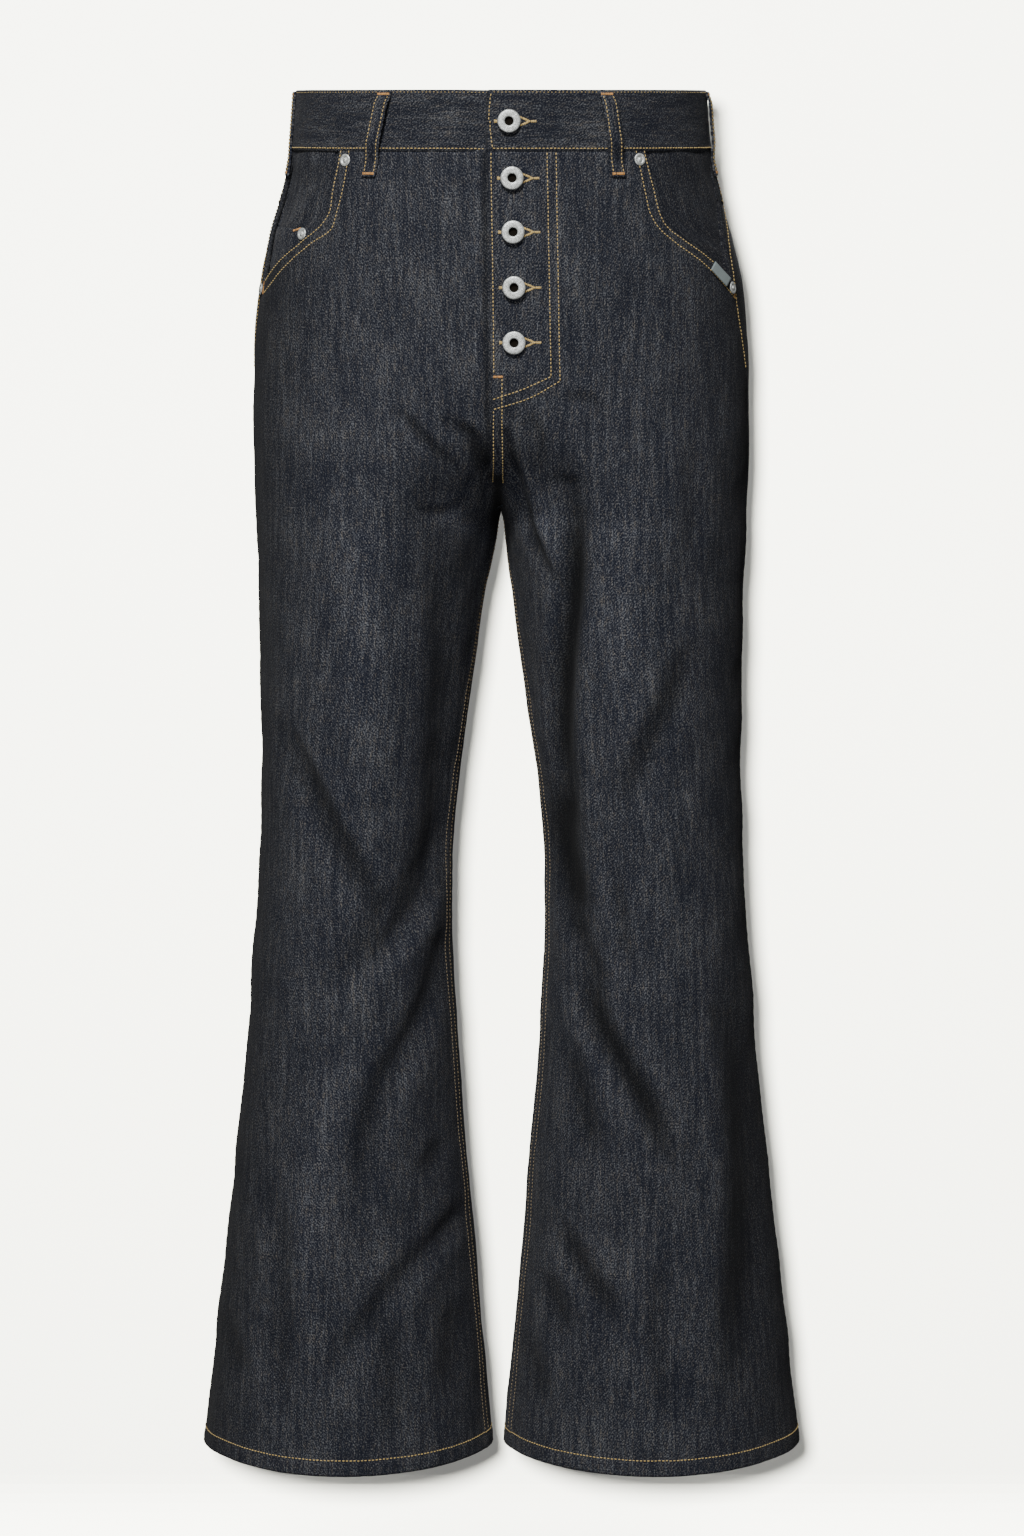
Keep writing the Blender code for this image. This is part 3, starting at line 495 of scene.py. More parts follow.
warmth = risen(weave, stretched(0.5, 0.12, 2.0, 0.6, 41.0), 0.45, 0.68)
pale = node(weave, "Mix", {0: warmth, 6: given["Weft"], 7: warm}, data_type="RGBA").outputs[2]
mixed = node(weave, "Mix", {0: share, 6: given["Warp"], 7: pale}, data_type="RGBA")
# The cloth's colour is scaled by the painted shading mask: darker where shade is painted, paler where light
# is painted.
painted_colour = node(weave, "VectorMath", {0: mixed.outputs[2]}, operation="SCALE")
wire(weave, painted_colour.inputs, Scale=calc(weave, "MULTIPLY_ADD", given["Rub"], 1.76, 0.12))
wire(weave, result, Color=painted_colour.outputs[0], Height=light,
     Roughness=calc(weave, "MULTIPLY_ADD", light, -0.12, 0.86))


def denim(name, warp, weft, fleck=1.0):
    """A denim of two yarn colours, with painted shade and light carried in the piece's second set of
    coordinates.
    """
    made, tree, shader = principled(name, Sheen_Weight=0.03, Sheen_Roughness=0.6, Specular_IOR_Level=0.18)
    place = node(tree, "UVMap", uv_map="cloth").outputs[0]
    shade_paint = node(tree, "SeparateXYZ", {0: node(tree, "UVMap", uv_map="shade_paint").outputs[0]}).outputs[0]
    cover = node(tree, "Group", node_tree=weave)
    for key, value in (("Warp", (*warp, 1)), ("Weft", (*weft, 1)), ("Fleck", fleck)):
        cover.inputs[key].default_value = value
    wire(tree, cover.inputs, Cloth=place, Rub=shade_paint)
    relief = node(tree, "Bump", {"Height": cover.outputs["Height"], "Strength": 0.35, "Distance": 0.0006})
    wire(tree, shader.inputs, Base_Color=cover.outputs["Color"], Roughness=cover.outputs["Roughness"],
         Normal=relief.outputs[0])
    return made


DENIM = denim("denim_face", (0.0055, 0.0076, 0.0162), (0.131, 0.1365, 0.147))
DENIM_BACK = denim("denim_reverse", (0.10, 0.12, 0.16), (0.34, 0.36, 0.38), 0.4)
NEAR = (0, 0.7, 1.8, 3.2, 5, 7.2, 9.6, 12.5)


def sew(name, surface, thick, uv, shade_paint=0.5, **cut):
    """A sheet of denim in place of its solid.  Whole metres in its uv set it apart on the weave."""
    made = shell(name + "_cloth", *surface, thick, uv, (DENIM, DENIM_BACK), shade_paint=shade_paint)
    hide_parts(name)


def fly_edge(height):
    return follow(FLY_EDGE, "across", height) * MM


def pocket_edge(side, height):
    return follow(POCKET_EDGE, "left" if side < 0 else "right", height) * MM


def inseam_turn(height):
    return INSEAM_TURN * ease(height, CROTCH, CROTCH - INSEAM_RUN)


def side_turn(side, height):
    return np.pi - np.radians(follow(LEG, "seam_left" if side < 0 else "seam_right", height))


def centre_turn(side, height, behind=False):
    """A half's turn at the centre seam, or at the inseam below the crotch."""
    if behind:
        return 2 * np.pi + np.where(height <= CROTCH, inseam_turn(height), -turn_at(0 * height, height))
    return np.where(height <= CROTCH, inseam_turn(height), turn_at(side * fly_edge(height), height))


def arc_rate(side, turn, height, step=0.01):
    """How far the cloth runs round for each unit of turn at a place."""
    ahead, back = skin(side, turn + step, height), skin(side, turn - step, height)
    return np.linalg.norm(ahead - back, axis=-1) / (2 * step)


def apart(side, turn, other, height):
    """How far a place lies round the cloth from another turn at its height."""
    return (turn - other) * arc_rate(side, turn, height)


def pucker(away, along, size=7.5, depth=0.22, width=6.0):
    """The ripples that a row of stitches draws into the cloth beside it."""
    wave = np.sin(2 * np.pi * along / (size * MM) + 2 * np.sin(along / (31 * MM)))
    return depth * MM * wave * np.exp(-(away / (width * MM)) ** 2)


def front_lift(side, turn, height):
    """What raises or lowers a front: the fly's overlap, the felled inseam, the hem and puckers."""
    across = form(height)[0] - form(height)[1] * np.cos(turn)
    near = 1 - ease(np.abs(side * across - fly_edge(height)), 0, FLY_FADE)
    lift = (FLY_RAISE if side > 0 else FLY_DROP) * near
    lift = lift * ease(height, FLY_END - FLY_BLEND, FLY_END + FLY_BLEND)
    start = apart(side, turn, centre_turn(side, height), height)
    felled = ease(height, CROTCH, CROTCH - FELL_RUN)
    lift = lift + FELL_RAISE * felled * (1 - ease(start, *FELL_EDGE))
    lift = lift + felled * pucker(start - FELL_ROW, height)
    lift = lift + pucker(apart(side, turn, side_turn(side, height), height), height, 9, 0.16)
    return lift + hem_lift(turn, height)


def hem_lift(turn, height):
    """The turned-up hem is thicker below its stitches and twists a little, in slanting ripples."""
    low = HEM + HEM_DEPTH
    twist = np.sin((turn * 100 * MM + (height - HEM) * 0.8) * 2 * np.pi / TWIST_SIZE)
    full = 1 - ease(height, low - 1 * MM, low + 3 * MM)
    pinch = np.exp(-((height - low) / (2.2 * MM)) ** 2)
    return HEM_RAISE * full - HEM_PINCH * pinch + HEM_TWIST * twist * full


def leg_rows(top, count=205):
    """The heights of a leg's rows of points, closer together at the hem."""
    fine = HEM + np.array((0, 1.2, 3, 5, 7, 9, 10.5, 12, 13.5, 15.5, 18, 21)) * MM
    return np.concatenate((np.linspace(top, fine[-1], count)[:-1], fine[::-1]))


def thickness(height):
    return np.where(height < HEM + HEM_DEPTH, HEM_CLOTH, CLOTH)


def grain_turn(height):
    """The line down a leg that the warp yarns run along."""
    return turn_at(np.maximum(form(height)[0], 98 * MM), height)


for side, word in SIDES:
    height = leg_rows(PANEL_TOP, 330)
    first, last = centre_turn(side, height), side_turn(side, height)
    last = np.where(height > POCKET_END, np.minimum(last, turn_at(pocket_edge(side, height), height)), last)
    turn, width = spread(side, height, first, last, NEAR, 84, grain_turn(height))
    level = np.broadcast_to(height[:, None], turn.shape)
    sew("front_" + word, cloth(side, turn, level, front_lift(side, turn, level)), thickness(level),
        (width + side, level), painted_shading(side, turn, level), flat=(0.33, 1.04), area=0.257)

# ---- Back legs -----------------------------------------------------------------------------
# Two panels of the same denim behind, cut off at the slant of the yoke seam.  Each edge runs a
# little way under its neighbour, as a felled seam does, so that no light shows between them.
YOKE_SIDE, YOKE_CENTRE, SLANT_END = -62 * MM, -96 * MM, -230 * MM
UNDER, UNDER_DROP = 8 * MM, 1.3 * MM
UNDER_EDGE = 1.5 * MM
SEAT_FELL = 0.5 * MM


def yoke_line(part):
    return YOKE_SIDE + (YOKE_CENTRE - YOKE_SIDE) * part


def back_lift(side, turn, height):
    """A back's puckers, its felled centre seam, and its edges tucked under their neighbours."""
    seam = apart(side, turn, side_turn(side, height), height)
    centre = apart(side, centre_turn(side, height, True), turn, height)
    lift = -UNDER_DROP * (1 - ease(seam, -UNDER_EDGE, UNDER_EDGE)) + pucker(seam, height, 9, 0.16)
    below = height < CROTCH
    tucked = -UNDER_DROP * (1 - ease(centre, -UNDER_EDGE, UNDER_EDGE))
    felled = SEAT_FELL * (1 - ease(centre, 9 * MM, 12 * MM)) * ease(centre, -1 * MM, 1 * MM)
    lift = lift + np.where(below | (side < 0), tucked, 0) + np.where(below, 0, felled * (side > 0))
    lift = lift + pucker(centre - 4 * MM, height, 8, 0.2)
    return lift + hem_lift(turn, height)


def back_grid(side, rows, near, count, slanted):
    """Turns, heights and widths behind, between the side seam and the centre, edges included."""
    first = side_turn(side, rows)
    last = centre_turn(side, rows, True)
    start = first - UNDER / arc_rate(side, first, rows)
    under = np.where((rows < CROTCH) | (side < 0), UNDER, 0)
    stop = last + under / np.maximum(arc_rate(side, last, rows), 0.02)
    turn, width = spread(side, rows, start, stop, near, count, (first + last) / 2)
    part = (turn - first[:, None]) / (last - first)[:, None]
    level = slanted(rows[:, None], part)
    turn = side_turn(side, level) + part * (centre_turn(side, level, True) - side_turn(side, level))
    return turn, level, width


BACK_NEAR = (0, 3, 6.2, 7.2, 8.4, 9.6, 11, 13, 15.5, 18.5)
for side, word in SIDES:
    rows = leg_rows(YOKE_SIDE + UNDER)
    turn, level, width = back_grid(
        side, rows, BACK_NEAR, 44,
        lambda row, part: row + (yoke_line(part) - YOKE_SIDE) * ease(row, SLANT_END, YOKE_SIDE))
    lift = back_lift(side, turn, level)
    lift = lift - UNDER_DROP * ease(rows[:, None], YOKE_SIDE - UNDER_EDGE, YOKE_SIDE + UNDER_EDGE)
    sew("back_" + word, cloth(side, turn, level, lift), thickness(level), (width + side * 2.0 + 5.0, level),
        painted_shading(side, turn, level), flat=(0.36, 1.02), area=0.30)

# ---- Yokes ---------------------------------------------------------------------------------
# Two shaped pieces of denim between the waistband and the backs, deepest at the centre back,
# which give the seat its curve.  They lap over the backs and over each other at the centre.
TUCK, YOKE_PROUD = 5 * MM, 0.35 * MM


def yoke_lift(side, turn, height):
    return back_lift(side, turn, height) + YOKE_PROUD


for side, word in SIDES:
    rows = np.linspace(0, 1, 26)
    top = PANEL_TOP + TUCK
    turn, level, width = back_grid(
        side, top + (YOKE_SIDE - top) * rows, BACK_NEAR, 40,
        lambda row, part: top + (yoke_line(part) - top) * (row - top) / (YOKE_SIDE - top))
    lift = yoke_lift(side, turn, level) + pucker(0, turn * 0.12, 8, 0.15) * (rows[:, None] > 0.85)
    sew("yoke_" + word, cloth(side, turn, level, lift), CLOTH, (width + side * 2.0 + 8.0, level + 2.0),
        painted_shading(side, turn, level), flat=(0.225, 0.078), area=0.0163)

# ---- Waistband -----------------------------------------------------------------------------
# A doubled strip of denim sewn right round over the tops of the panels.  Its buttoned end laps
# over its plain end, which tucks in behind the fly.
WAIST_HALF, BAND_PROUD, BAND_CLOTH = 22.5 * MM, 0.8 * MM, 3.0 * MM
SEAM_GAP = 0.3 * MM
BAND_TUCK = BAND_CLOTH + SEAM_GAP
# The way round the waist in metres, and the places of the two puckered rows in height.
WAIST_ROUND, BAND_LOW_ROW, BAND_TOP_ROW = 1.01, -20.8 * MM, 19.6 * MM
UNDER_RAMP, UNDER_END = (-34 * MM, -11 * MM), 38 * MM
BAND_WAVE = 0.35 * MM


def front_part(across, height):
    """The part of a turn round the waist at which a place on the front lies."""
    return np.arcsin(np.clip(across / form(height)[1], -1, 1)) / (2 * np.pi)


def band_point(part, height, lift=0.0):
    return cloth(1, np.pi / 2 + 2 * np.pi * part, height, lift)


def band_lift(part, height):
    """The band's own lift: its tucked end, its puckered rows and a slight wave of its own."""
    half_x = form(height)[1]
    across = half_x * np.sin(2 * np.pi * part)
    tucked = np.where(part > 0.9, ease(across, *UNDER_RAMP), 0)
    run = part * WAIST_ROUND
    wave = BAND_WAVE * np.sin(run * 55 + 1.3 * np.sin(run * 23)) * ease(np.abs(height), 6 * MM, 22 * MM)
    rows = pucker(height - BAND_LOW_ROW, run, 7, 0.22, 3.5)
    rows = rows + pucker(height - BAND_TOP_ROW, run + 0.002, 8, 0.18, 3.0)
    return BAND_PROUD - BAND_TUCK * tucked + wave * (1 - tucked) + rows


band_start, band_end = front_part(fly_edge(0) + SEAM_GAP / 2, 0), 1 + front_part(UNDER_END, 0)
part = band_start + (band_end - band_start) * np.linspace(0, 1, 330)
part = np.concatenate((band_start + (part[1] - band_start) * np.array((0, 0.2, 0.5)), part[1:]))
levels = WAIST_HALF * np.array((1, 0.985, 0.95, 0.9, 0.84, 0.77, 0.66, 0.5, 0.33, 0.16, 0, -0.16, -0.33, -0.5,
                                -0.66, -0.78, -0.86, -0.92, -0.965, -1.0))
level, part = np.meshgrid(levels, part, indexing="ij")
outer, outward = band_point(part, level, band_lift(part, level))
round_edge = 0.55 * MM * (1 - ease(WAIST_HALF - np.abs(level), 0, 1.6 * MM))
outer = outer - outward * round_edge[..., None]
sew("waistband", (outer, outward), BAND_CLOTH - 2 * round_edge, (level + 11.0, part * WAIST_ROUND), 0.42,
    flat=(1.02, 0.046))

# ---- Fly underlap --------------------------------------------------------------------------
# The doubled strip of denim behind the buttoned front, sewn to the viewer's left front.  The
# buttons are riveted to it, and its lower end is caught in the fly's slanting row.
UNDERLAP_LIFT = -2.05 * MM
height = np.linspace(PANEL_TOP + TUCK, -200 * MM, 60)
across = np.linspace(-32, 36, 22) * MM
level, across = np.meshgrid(height, across, indexing="ij")
sew("fly_underlap", cloth(1, turn_at(across, level), level, UNDERLAP_LIFT), CLOTH, (across + 13.0, level),
    flat=(0.070, 0.185))

# ---- Pocket facings and coin pocket --------------------------------------------------------
# The denim seen inside each hip pocket's opening, and the small pocket sewn to the left one,
# whose hemmed top shows in the opening.
COIN_TOP = -81.5 * MM


def facing(name, side, top, bottom, inner, margin, lift, shape, flat, shade_paint):
    """Denim inside a hip pocket, from an inner edge to a margin short of the side seam."""
    height = np.linspace(top, bottom, 60)
    start = turn_at(inner(height), height)
    seam = side_turn(side, height)
    stop = seam - margin * MM / arc_rate(side, seam, height)
    turn, width = spread(side, height, start, stop, (0, 1.2, 3), 34, start)
    level = np.broadcast_to(height[:, None], turn.shape)
    surface = cloth(side, turn, level, (lift + shape(side, turn, level, lift)) * MM)
    sew(name, surface, CLOTH, (width + 15.0 + side, level), shade_paint, flat=flat)


def facing_rise(side, turn, level, lift):
    """A facing comes up to the surface at the side seam and at the band, where it is sewn in."""
    seam = apart(side, side_turn(side, level), turn, level)
    opening = apart(side, turn, turn_at(pocket_edge(side, level), level), level)
    top = ease(level, -48 * MM, -26 * MM) * ease(opening, 1 * MM, 9 * MM)
    pull = 0.5 * np.sin(level / (7 * MM) + 3 * opening / (20 * MM)) * ease(opening, 0, 12 * MM)
    sewn = np.maximum(1 - ease(seam, 2.5 * MM, 8.5 * MM), top * 0.8)
    return (-0.1 - lift) * sewn + pull * ease(seam, 0, 12 * MM)


def coin_rise(side, turn, level, lift):
    """A hemmed top stands a little higher."""
    return 0.3 * (1 - ease(COIN_TOP - level, 6 * MM, 8 * MM))


# Both facings carry painted shade all over, the viewer's right one more.
for side, word, lift, shade_paint in ((-1, "left", -4.3, 0.42), (1, "right", -2.2, 0.33)):
    facing("pocket_facing_" + word, side, PANEL_TOP + TUCK, -146 * MM,
           lambda height, side=side: pocket_edge(side, np.maximum(height, POCKET_END)) - 14 * MM,
           0.5, lift, facing_rise, (0.088, 0.127), shade_paint)
facing("coin_pocket", -1, COIN_TOP, -124 * MM, lambda height: 127 * MM + 0 * height, 12, -2.15,
       coin_rise, (0.070, 0.046), 0.5)

# ---- Back pockets --------------------------------------------------------------------------
# Two plain five-sided patches of denim, hemmed at the top and pressed in at the other edges,
# sewn to the backs with a double row.
POCKET_TOP, POCKET_RISE, POCKET_DEPTH, POCKET_POINT = -124 * MM, 9 * MM, 140 * MM, 18 * MM
POCKET_INNER, POCKET_WIDTH, POCKET_TAPER = 34 * MM, 146 * MM, 11 * MM
POCKET_LIFT, POCKET_PRESS, POCKET_HEM, POCKET_BOW = 1.3 * MM, 0.9 * MM, 0.25 * MM, 1.2 * MM


def back_pocket_place(side, row, part):
    """Turn and height of a place on a back pocket, by parts down and across from its outer edge."""
    height = POCKET_TOP - POCKET_DEPTH * row + POCKET_RISE * part
    height = height - POCKET_POINT * (1 - np.abs(2 * part - 1)) * row
    arc = POCKET_INNER + POCKET_TAPER * row + (POCKET_WIDTH - 2 * POCKET_TAPER * row) * part
    turn = np.empty_like(height)
    steps = np.linspace(0, 1.9, 380)
    for at in np.ndindex(height.shape):
        edge = centre_turn(side, height[at], True)
        run = run_along(skin(side, edge - steps, height[at]))
        turn[at] = edge - np.interp(arc[at], run, steps)
    return turn, height


def back_pocket_cloth(side, row, part, rim, hemmed):
    """Points on a back pocket: edges pressed in, puckers by its rows, a hemmed top that bows out."""
    turn, level = back_pocket_place(side, row, part)
    lift = CLOTH + POCKET_LIFT - POCKET_PRESS * (1 - ease(rim, 0, 9 * MM)) + POCKET_HEM * hemmed
    lift = lift + pucker(rim - 4 * MM, level + part * 0.1, 8, 0.2, 5)
    lift = lift + POCKET_BOW * np.sin(np.pi * part) * np.exp(-row * 9)
    return cloth(side, turn, level, lift), level


POCKET_HEM_PART = 0.103
pocket_rows = np.concatenate(((0, 0.008, 0.02, 0.04, 0.07, 0.1, 0.105, 0.12), np.linspace(0.15, 0.95, 26),
                              (0.965, 0.98, 0.992, 1)))
pocket_parts = np.concatenate(((0, 0.008, 0.02, 0.035, 0.055), np.linspace(0.08, 0.92, 25),
                               (0.945, 0.965, 0.98, 0.992, 1)))
for side, word in SIDES:
    row, part = np.meshgrid(pocket_rows, pocket_parts, indexing="ij")
    rim = np.minimum(np.minimum(part, 1 - part) * POCKET_WIDTH, (1 - row) * POCKET_DEPTH)
    surface, level = back_pocket_cloth(side, row, part, rim, row < POCKET_HEM_PART)
    sew("back_pocket_" + word, surface, CLOTH, (20.0 - side * part * POCKET_WIDTH, level + 1.0),
        flat=(0.148, 0.168), area=0.0212)

# ---- Belt loops ----------------------------------------------------------------------------
# Five strips of denim folded in three, tacked above and below the band and standing off it.
LOOP_WIDTH, LOOP_CLOTH, LOOP_TOP, LOOP_BOTTOM = 11.2 * MM, 1.6 * MM, 21.5 * MM, -42 * MM
LOOP_TACK, LOOP_OPEN = 10 * MM, -15 * MM
# Each row is one loop: its place, where its top and bottom lie across in mm, or which side it is
# on, and how far it stands off in mm.
LOOPS = (("belt_loop_front_left", "front", -86.5, -99.7, 5.5),
         ("belt_loop_front_right", "front", 79, 88.2, 5.5),
         ("belt_loop_side_left", "side", -1, -1, 1.3), ("belt_loop_side_right", "side", 1, 1, 3.0),
         ("belt_loop_back", "back", 0, 0, 6.5))


def loop_middle(place, top, bottom, height):
    """The middle of a belt loop at a height, as a turn on the viewer's right half."""
    across = bottom + (top - bottom) * (height - LOOP_BOTTOM) / (LOOP_TOP - LOOP_BOTTOM)
    if place == "front":
        return np.pi / 2 + np.arcsin(across * MM / form(height)[1])
    if place == "back":
        return 1.5 * np.pi + 0 * height
    return np.pi / 2 + top * (side_turn(top, height) - np.pi / 2)


def loop_lift(height, stand):
    """How far a belt loop's back stands off the panels."""
    lower = SEAM_GAP + (stand * MM - SEAM_GAP) * ease(height, LOOP_BOTTOM + LOOP_TACK, LOOP_OPEN)
    seat = BAND_PROUD + SEAM_GAP
    upper = seat + (stand * MM - seat) * ease(height, LOOP_TOP, LOOP_TOP - LOOP_TACK)
    return np.minimum(lower, upper)


def loop_surface(loop, height, across):
    """Points on a belt loop's face, by heights and by distances from its middle line."""
    _, place, top, bottom, stand = loop
    middle = loop_middle(place, top, bottom, height)
    lift = loop_lift(height, stand) + LOOP_CLOTH
    lift = lift - 0.5 * MM * (np.abs(across) / (LOOP_WIDTH / 2)) ** 6 + 0.12 * MM * np.cos(across / MM * 1.16)
    return cloth(1, middle + across / arc_rate(1, middle, height), height, lift)


for number, loop in enumerate(LOOPS):
    height = np.linspace(LOOP_TOP, LOOP_BOTTOM, 58)
    across = LOOP_WIDTH / 2 * np.array((-1, -0.96, -0.86, -0.7, -0.45, -0.15, 0.15, 0.45, 0.7, 0.86, 0.96, 1))
    level, across = np.meshgrid(height, across, indexing="ij")
    ragged = 0.25 * MM * np.sin(level / MM * 0.9 + across / MM) * (np.abs(across) / (LOOP_WIDTH / 2)) ** 4
    outer, outward = loop_surface(loop, level, across + ragged)
    made = shell(loop[0] + "_cloth", outer, outward, LOOP_CLOTH, (across + 25.0 + number, level),
                 (DENIM, DENIM), rim=0.3)
    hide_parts(loop[0])

# ---- Topstitching --------------------------------------------------------------------------
# Thick golden polyester thread in rows of raised stitches about 3 mm long, which dip into the
# cloth at both ends, with dense bars of it where a seam takes strain.
THREAD, BAR_THREAD, INSEAM_THREAD, TOP_THREAD = 0.38 * MM, 0.33 * MM, 0.27 * MM, 0.24 * MM
# The rows' distances from their seams in mm: the felled inseam, the yoke and the centre back.
INSEAM_ROWS, YOKE_ROWS, SEAT_ROWS, BACK_POCKET_ROWS = (6.6, 13), (1.6, 6.8), (1.5, 7.0), (1.8, 7.6)
# Each short thread of a bar is one stitch from end to end.
ONE_STITCH = {"pitch": 9.0, "cover": 0.97}
# The parts down a back pocket of the two rows that hold its hemmed top.
POCKET_TOP_ROWS = (0.014, 0.094)


def front_line(side, places, raised=0.0):
    """A line on a front's cloth through places given by x and height in millimetres."""
    x, height = smooth(places).T * MM
    turn = turn_at(side * x, height)
    return cloth(side, turn, height, front_lift(side, turn, height) + raised)


def seam_line(side, turns, arc, height, lift):
    """A line down a panel at a distance round from a seam."""
    turn = turns + arc / arc_rate(side, turns, height)
    return cloth(side, turn, height, lift(side, turn, height))


def along_line(at, run, line):
    """The places at some distances along a line, or the directions that go with them."""
    return np.stack([np.interp(at, run, line[:, k]) for k in range(3)], -1)


def stitches(lines, pitch=2.9, cover=0.66, radius=THREAD, seed=1):
    """Points and faces of one row of stitches on each line: short threads with sunk ends."""
    random = np.random.default_rng(seed)
    points, faces = [], []
    part, rise, full = np.array(
        ((0, -0.55, 0.7), (0.14, 0.25, 1), (0.5, 0.62, 1.08), (0.86, 0.25, 1), (1, -0.55, 0.7))).T
    full = full[:, None, None]
    ring = np.arange(6) * np.pi / 3
    count = 0
    for line, outward in lines:
        run = run_along(line)
        number = max(int(round(run[-1] / (pitch * MM))), 1)
        step = run[-1] / number
        for n in range(number):
            start = (n + (1 - cover) / 2 + random.normal() * 0.02) * step
            at = start + part * cover * step * (1 + random.normal() * 0.04)
            middle, up = along_line(at, run, line), along_line(at, run, outward)
            along = np.gradient(middle, axis=0)
            along /= np.linalg.norm(along, axis=1, keepdims=True)
            aside = np.cross(along, up)
            slip = random.normal() * 0.06 * MM
            size = radius * (1 + random.normal() * 0.05)
            middle = middle + up * rise[:, None] * size + aside * slip
            rings = (middle[:, None] + aside[:, None] * (np.cos(ring)[:, None] * size * full)
                     + up[:, None] * (np.sin(ring)[:, None] * size * 0.85 * full))
            points.append(rings.reshape(-1, 3))
            for k in range(4):
                for j in range(6):
                    a, b = count + 6 * k + j, count + 6 * k + (j + 1) % 6
                    faces.append((a, a + 6, b + 6, b))
            faces.append(tuple(count + j for j in range(6)))
            faces.append(tuple(count + 24 + j for j in range(5, -1, -1)))
            count += 30
    return np.concatenate(points), faces


def bar(line, outward, width=2.0, pitch=0.62):
    """A bartack: a close row of short threads across a line, each slightly out of step."""
    random = np.random.default_rng(3)
    run = run_along(line)
    lines = []
    for at in np.arange(0, run[-1] + 1e-6, pitch * MM):
        middle, up = along_line(at, run, line), along_line(at, run, outward)
        along = along_line(min(at + MM, run[-1]), run, line) - along_line(max(at - MM, 0), run, line)
        along /= np.linalg.norm(along)
        aside = np.cross(along, up)
        half = width * MM / 2 * (1 + random.normal() * 0.07)
        lean = along * random.normal() * 0.12 * MM
        ends = np.linspace(-half, half, 7)[:, None] * aside + middle + lean
        lines.append((ends, np.repeat(up[None], 7, 0)))
    return lines


def threads(name, lines, finish, **kind):
    mesh_piece(name, *stitches(lines, **kind), (finish,))


thread_look, given, result = group(
    "thread_look", (("Place", "Vector", (0, 0, 0)), ("Dye", "Color", (0.5, 0.3, 0.1, 1))),
    (("Color", "Color"), ("Height", "Float")))
patch = node(thread_look, "TexNoise", {"Vector": given["Place"], "Scale": 420.0, "Detail": 2.0}).outputs[0]
twist = node(thread_look, "TexNoise", {"Vector": given["Place"], "Scale": 2600.0, "Detail": 1.0}).outputs[0]
shade = calc(thread_look, "MULTIPLY_ADD", patch, 0.9, 0.42)
shade = calc(thread_look, "MULTIPLY", shade, calc(thread_look, "MULTIPLY_ADD", twist, 0.5, 0.75))
tinted = node(thread_look, "VectorMath", {0: given["Dye"], "Scale": shade}, operation="SCALE")
wire(thread_look, result, Color=tinted.outputs[0], Height=twist)


def thread_finish(name, dye):
    made, tree, shader = principled(name, Roughness=0.55, Sheen_Weight=0.2)
    place = node(tree, "TexCoord").outputs["Object"]
    look = node(tree, "Group", node_tree=thread_look)
    look.inputs["Dye"].default_value = (*dye, 1)
    wire(tree, look.inputs, Place=place)
    relief = node(tree, "Bump", {"Height": look.outputs["Height"], "Strength": 0.5, "Distance": 0.0002})
    wire(tree, shader.inputs, Base_Color=look.outputs["Color"], Normal=relief.outputs[0])
    return made


GOLD = thread_finish("golden_thread", (0.66, 0.47, 0.17))
ORANGE = thread_finish("orange_thread", (0.68, 0.33, 0.09))
# A darker copy of the golden thread, used for the inseams.
DARK_GOLD = thread_finish("darker_golden_thread", (0.36, 0.27, 0.15))
# The rows beside the hip pockets, down the fly and down the centre seam, each through places
# given by x and height in mm.
POCKET_ROWS = {-1: (((-120.9, -22), (-123.3, -34.8), (-127.1, -52.2), (-131.4, -71.9), (-136.5, -78.8),
                     (-151.8, -92), (-173.3, -111.6), (-182.1, -122.7)),
                    ((-114.7, -21.9), (-116.3, -34), (-120.4, -55.5), (-124.8, -70.3), (-127.9, -80.2),
                     (-145.1, -93.4), (-165.9, -112.1), (-183, -131.8))),
               1: (((108.2, -21.9), (110.5, -32.4), (115.5, -52.1), (120.9, -71.8), (123.6, -77.1),
                    (139.1, -90.2), (161.2, -106.6), (175, -121)),
                   ((102, -21.9), (104.6, -33.2), (108.9, -53.5), (113.8, -71.7), (118.9, -80.1),
                    (132.1, -91.6), (159.6, -112.7), (180.8, -136.3)))}
edge = tuple((fly_edge(z * MM) / MM + 1.9, z) for z in (-23.5, -60, -100, -135, -170, -190))
FLY_ROWS = (edge, ((34.7, -23.2), (36.3, -104.5), (37.9, -192.5)),
            ((37.9, -192.5), (18, -201.5), (-6.3, -210)),
            ((41.5, -23.2), (43, -104.6), (44.6, -196)), ((44.6, -196), (22, -208.5), (-5.6, -217.6)))
CENTRE_ROWS = (((1.0, -194), (1.0, -235), (1.8, -275)), ((-5.4, -218.5), (-5.6, -245), (-5.8, -276)))

